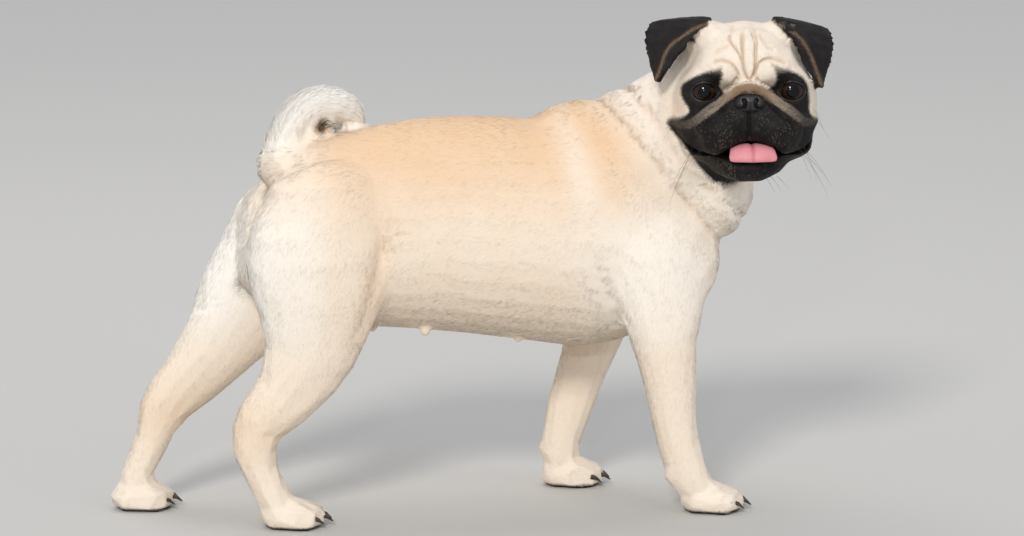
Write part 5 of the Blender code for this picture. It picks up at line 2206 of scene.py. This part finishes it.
@dataclass
class Whiskers:
    """A few long dark hairs on the lips, the cheeks and the chin.

    A row holds how many hairs it has, how far out of the face it starts, the first one's place across and
    the step to the next, the same upwards, where a step goes down, and the hairs' length.
    """

    rows: tuple = (
        (3, 0.006, (0.026, 0.004), (-0.030, 0.005), 0.020),
        (4, -0.006, (0.037, 0.002), (-0.036, 0.005), 0.024),
        (2, -0.022, (0.046, 0.0), (-0.010, 0.008), 0.018),
        (3, 0.006, (0.010, 0.004), (-0.058, 0.0), 0.012),
    )
    seed: int = 11

    def build(self) -> bpy.types.Object:
        """Makes them as one piece: each is a thin four-sided cone that droops by the square of its length.

        Returns:
            The piece.
        """
        dice = np.random.default_rng(self.seed)
        roots = []
        for side in (-1, 1):
            for count, out, (across, wider), (up, lower), length in self.rows:
                for k in range(count):
                    roots.append(((out, side * (across + wider * k), up - lower * k), side, length))
        points, faces = [], []
        for number, (root, side, length) in enumerate(roots):
            steps = np.linspace(0, 1, 9)[:, None]
            way = unit(np.array((0.30, side * 0.62, -0.62)) + dice.normal(0, 0.16, 3))
            path = np.array(root) + way * length * steps + np.array((0, 0, -0.35)) * length * steps**2
            rings = tube_along(path, np.linspace(0.00013, 0.00003, 9), 4)
            own, corners = round_grid(HEAD.outside(rings.reshape(-1, 3)).reshape(rings.shape))
            points.append(own)
            faces.append(outward(own, corners) + number * len(own))
        piece = make_mesh("whiskers", np.vstack(points), np.vstack(faces))
        finish = HornFinish(dark=paint(40, 34, 30), pale=paint(84, 70, 58))
        piece.data.materials.append(finish.material("whisker_finish"))
        return piece


@dataclass
class Claws:
    """The claws, kept as the CAD has them."""

    def dress(self) -> int:
        """Gives the claws their horn.

        Returns:
            How many claws there are.
        """
        horn = HornFinish().material("claw_finish")
        claws = [node for name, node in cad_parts.items() if name.startswith("claw")]
        for claw in claws:
            claw.data.materials.clear()
            claw.data.materials.append(horn)
        return len(claws)


# The studio


@dataclass
class Studio:
    """A plain pale floor, soft lamps and the camera of the photograph."""

    azimuth: float = -12.0
    elevation: float = 10.0
    distance: float = 3.2
    scale: float = 1400.0
    sensor: float = 36.0
    picture_width: int = 1024
    sky_colour: tuple = (0.86, 0.90, 1.0, 1.0)
    sky_strength: float = 0.60

    def build(self) -> None:
        """Sets up the floor, the lamps, the sky's light and the camera."""
        self.floor()
        self.sun("key", (-0.46, -0.98, 0.70), 12.0, 1.68, (1.0, 0.975, 0.93))
        self.lamp("fill", (2.2, -2.4, 1.1), 2.0, 13.0, (0.95, 0.97, 1.0))
        self.lamp("top", (-0.2, 0.9, 2.4), 1.6, 16.0, (1.0, 0.98, 0.95))
        self.lamp("spark", (-0.72, -2.9, 1.15), 0.12, 9.0, (1.0, 1.0, 1.0))
        world = bpy.data.worlds.new("sky")
        world.use_nodes = True
        sky = world.node_tree.nodes["Background"]
        sky.inputs["Color"].default_value = self.sky_colour
        sky.inputs["Strength"].default_value = self.sky_strength
        bpy.context.scene.world = world
        bpy.context.scene.view_settings.view_transform = "Standard"
        self.camera()

    def floor(self) -> None:
        """A flat floor under the paws."""
        corners = np.array([(-30, -30, 0), (30, -30, 0), (30, 30, 0), (-30, 30, 0)], float)
        piece = make_mesh("studio_floor", corners, np.array([[0, 1, 2, 3]]))
        piece.data.materials.append(FloorFinish().material("floor_finish"))

    def lamp(self, name: str, place: tuple, size: float, power: float, colour: tuple) -> None:
        """A soft square lamp that points at the dog.

        Args:
            name: The lamp's name.
            place: Where it hangs.
            size: The length of its side.
            power: Its power in watts.
            colour: Its colour.
        """
        light = bpy.data.lights.new(name, "AREA")
        light.size = size
        light.energy = power
        light.color = colour
        lamp = bpy.data.objects.new(name, light)
        lamp.location = place
        lamp.rotation_euler = (Vector(place) - Vector(AIM)).to_track_quat("Z", "Y").to_euler()
        lamp.visible_glossy = size < 1.0
        bpy.context.scene.collection.objects.link(lamp)

    def sun(self, name: str, place: tuple, spread: float, power: float, colour: tuple) -> None:
        """A wide far lamp that lights dog and floor evenly.

        Args:
            name: The lamp's name.
            place: The direction it shines from.
            spread: How wide it looks, in degrees.
            power: Its strength.
            colour: Its colour.
        """
        light = bpy.data.lights.new(name, "SUN")
        light.angle = math.radians(spread)
        light.energy = power
        light.color = colour
        lamp = bpy.data.objects.new(name, light)
        lamp.rotation_euler = Vector(place).to_track_quat("Z", "Y").to_euler()
        bpy.context.scene.collection.objects.link(lamp)

    def camera(self) -> None:
        """The camera, turned and raised as the photograph's, with its scale at the dog's middle."""
        turn, rise = math.radians(self.azimuth), math.radians(self.elevation)
        back = Vector((math.sin(turn) * math.cos(rise), -math.cos(turn) * math.cos(rise), math.sin(rise)))
        lens = bpy.data.cameras.new("camera")
        lens.sensor_width = self.sensor
        lens.lens = self.sensor * self.scale * self.distance / self.picture_width
        camera = bpy.data.objects.new("camera", lens)
        camera.location = Vector(AIM) + back * self.distance
        camera.rotation_euler = back.to_track_quat("Z", "Y").to_euler()
        bpy.context.scene.collection.objects.link(camera)
        bpy.context.scene.camera = camera


def main() -> None:
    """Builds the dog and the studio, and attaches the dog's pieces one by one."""
    logging.basicConfig(level=logging.INFO, format="%(name)s: %(message)s")
    finish = CoatFinish()
    skin, surface = Skin().build()
    skin.data.materials.append(finish.material("skin_finish", False))
    log.info("skin: %d triangles", len(surface.faces))
    fur = finish.material("coat_finish", True)
    pieces = [skin]
    for piece in Coat().build(surface):
        piece.data.materials.append(fur)
        pieces.append(piece)
    for side in Side:
        pieces += Eye(side).build()
    pieces += [Nose().build(), Tongue().build(), Whiskers().build()]
    log.info("claws: %d", Claws().dress())
    for piece in pieces:
        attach(piece, "root")
        log.info("%s: %d triangles", piece.name, len(piece.data.loops) - 2 * len(piece.data.polygons))
    Studio().build()


if __name__ == "__main__":
    main()
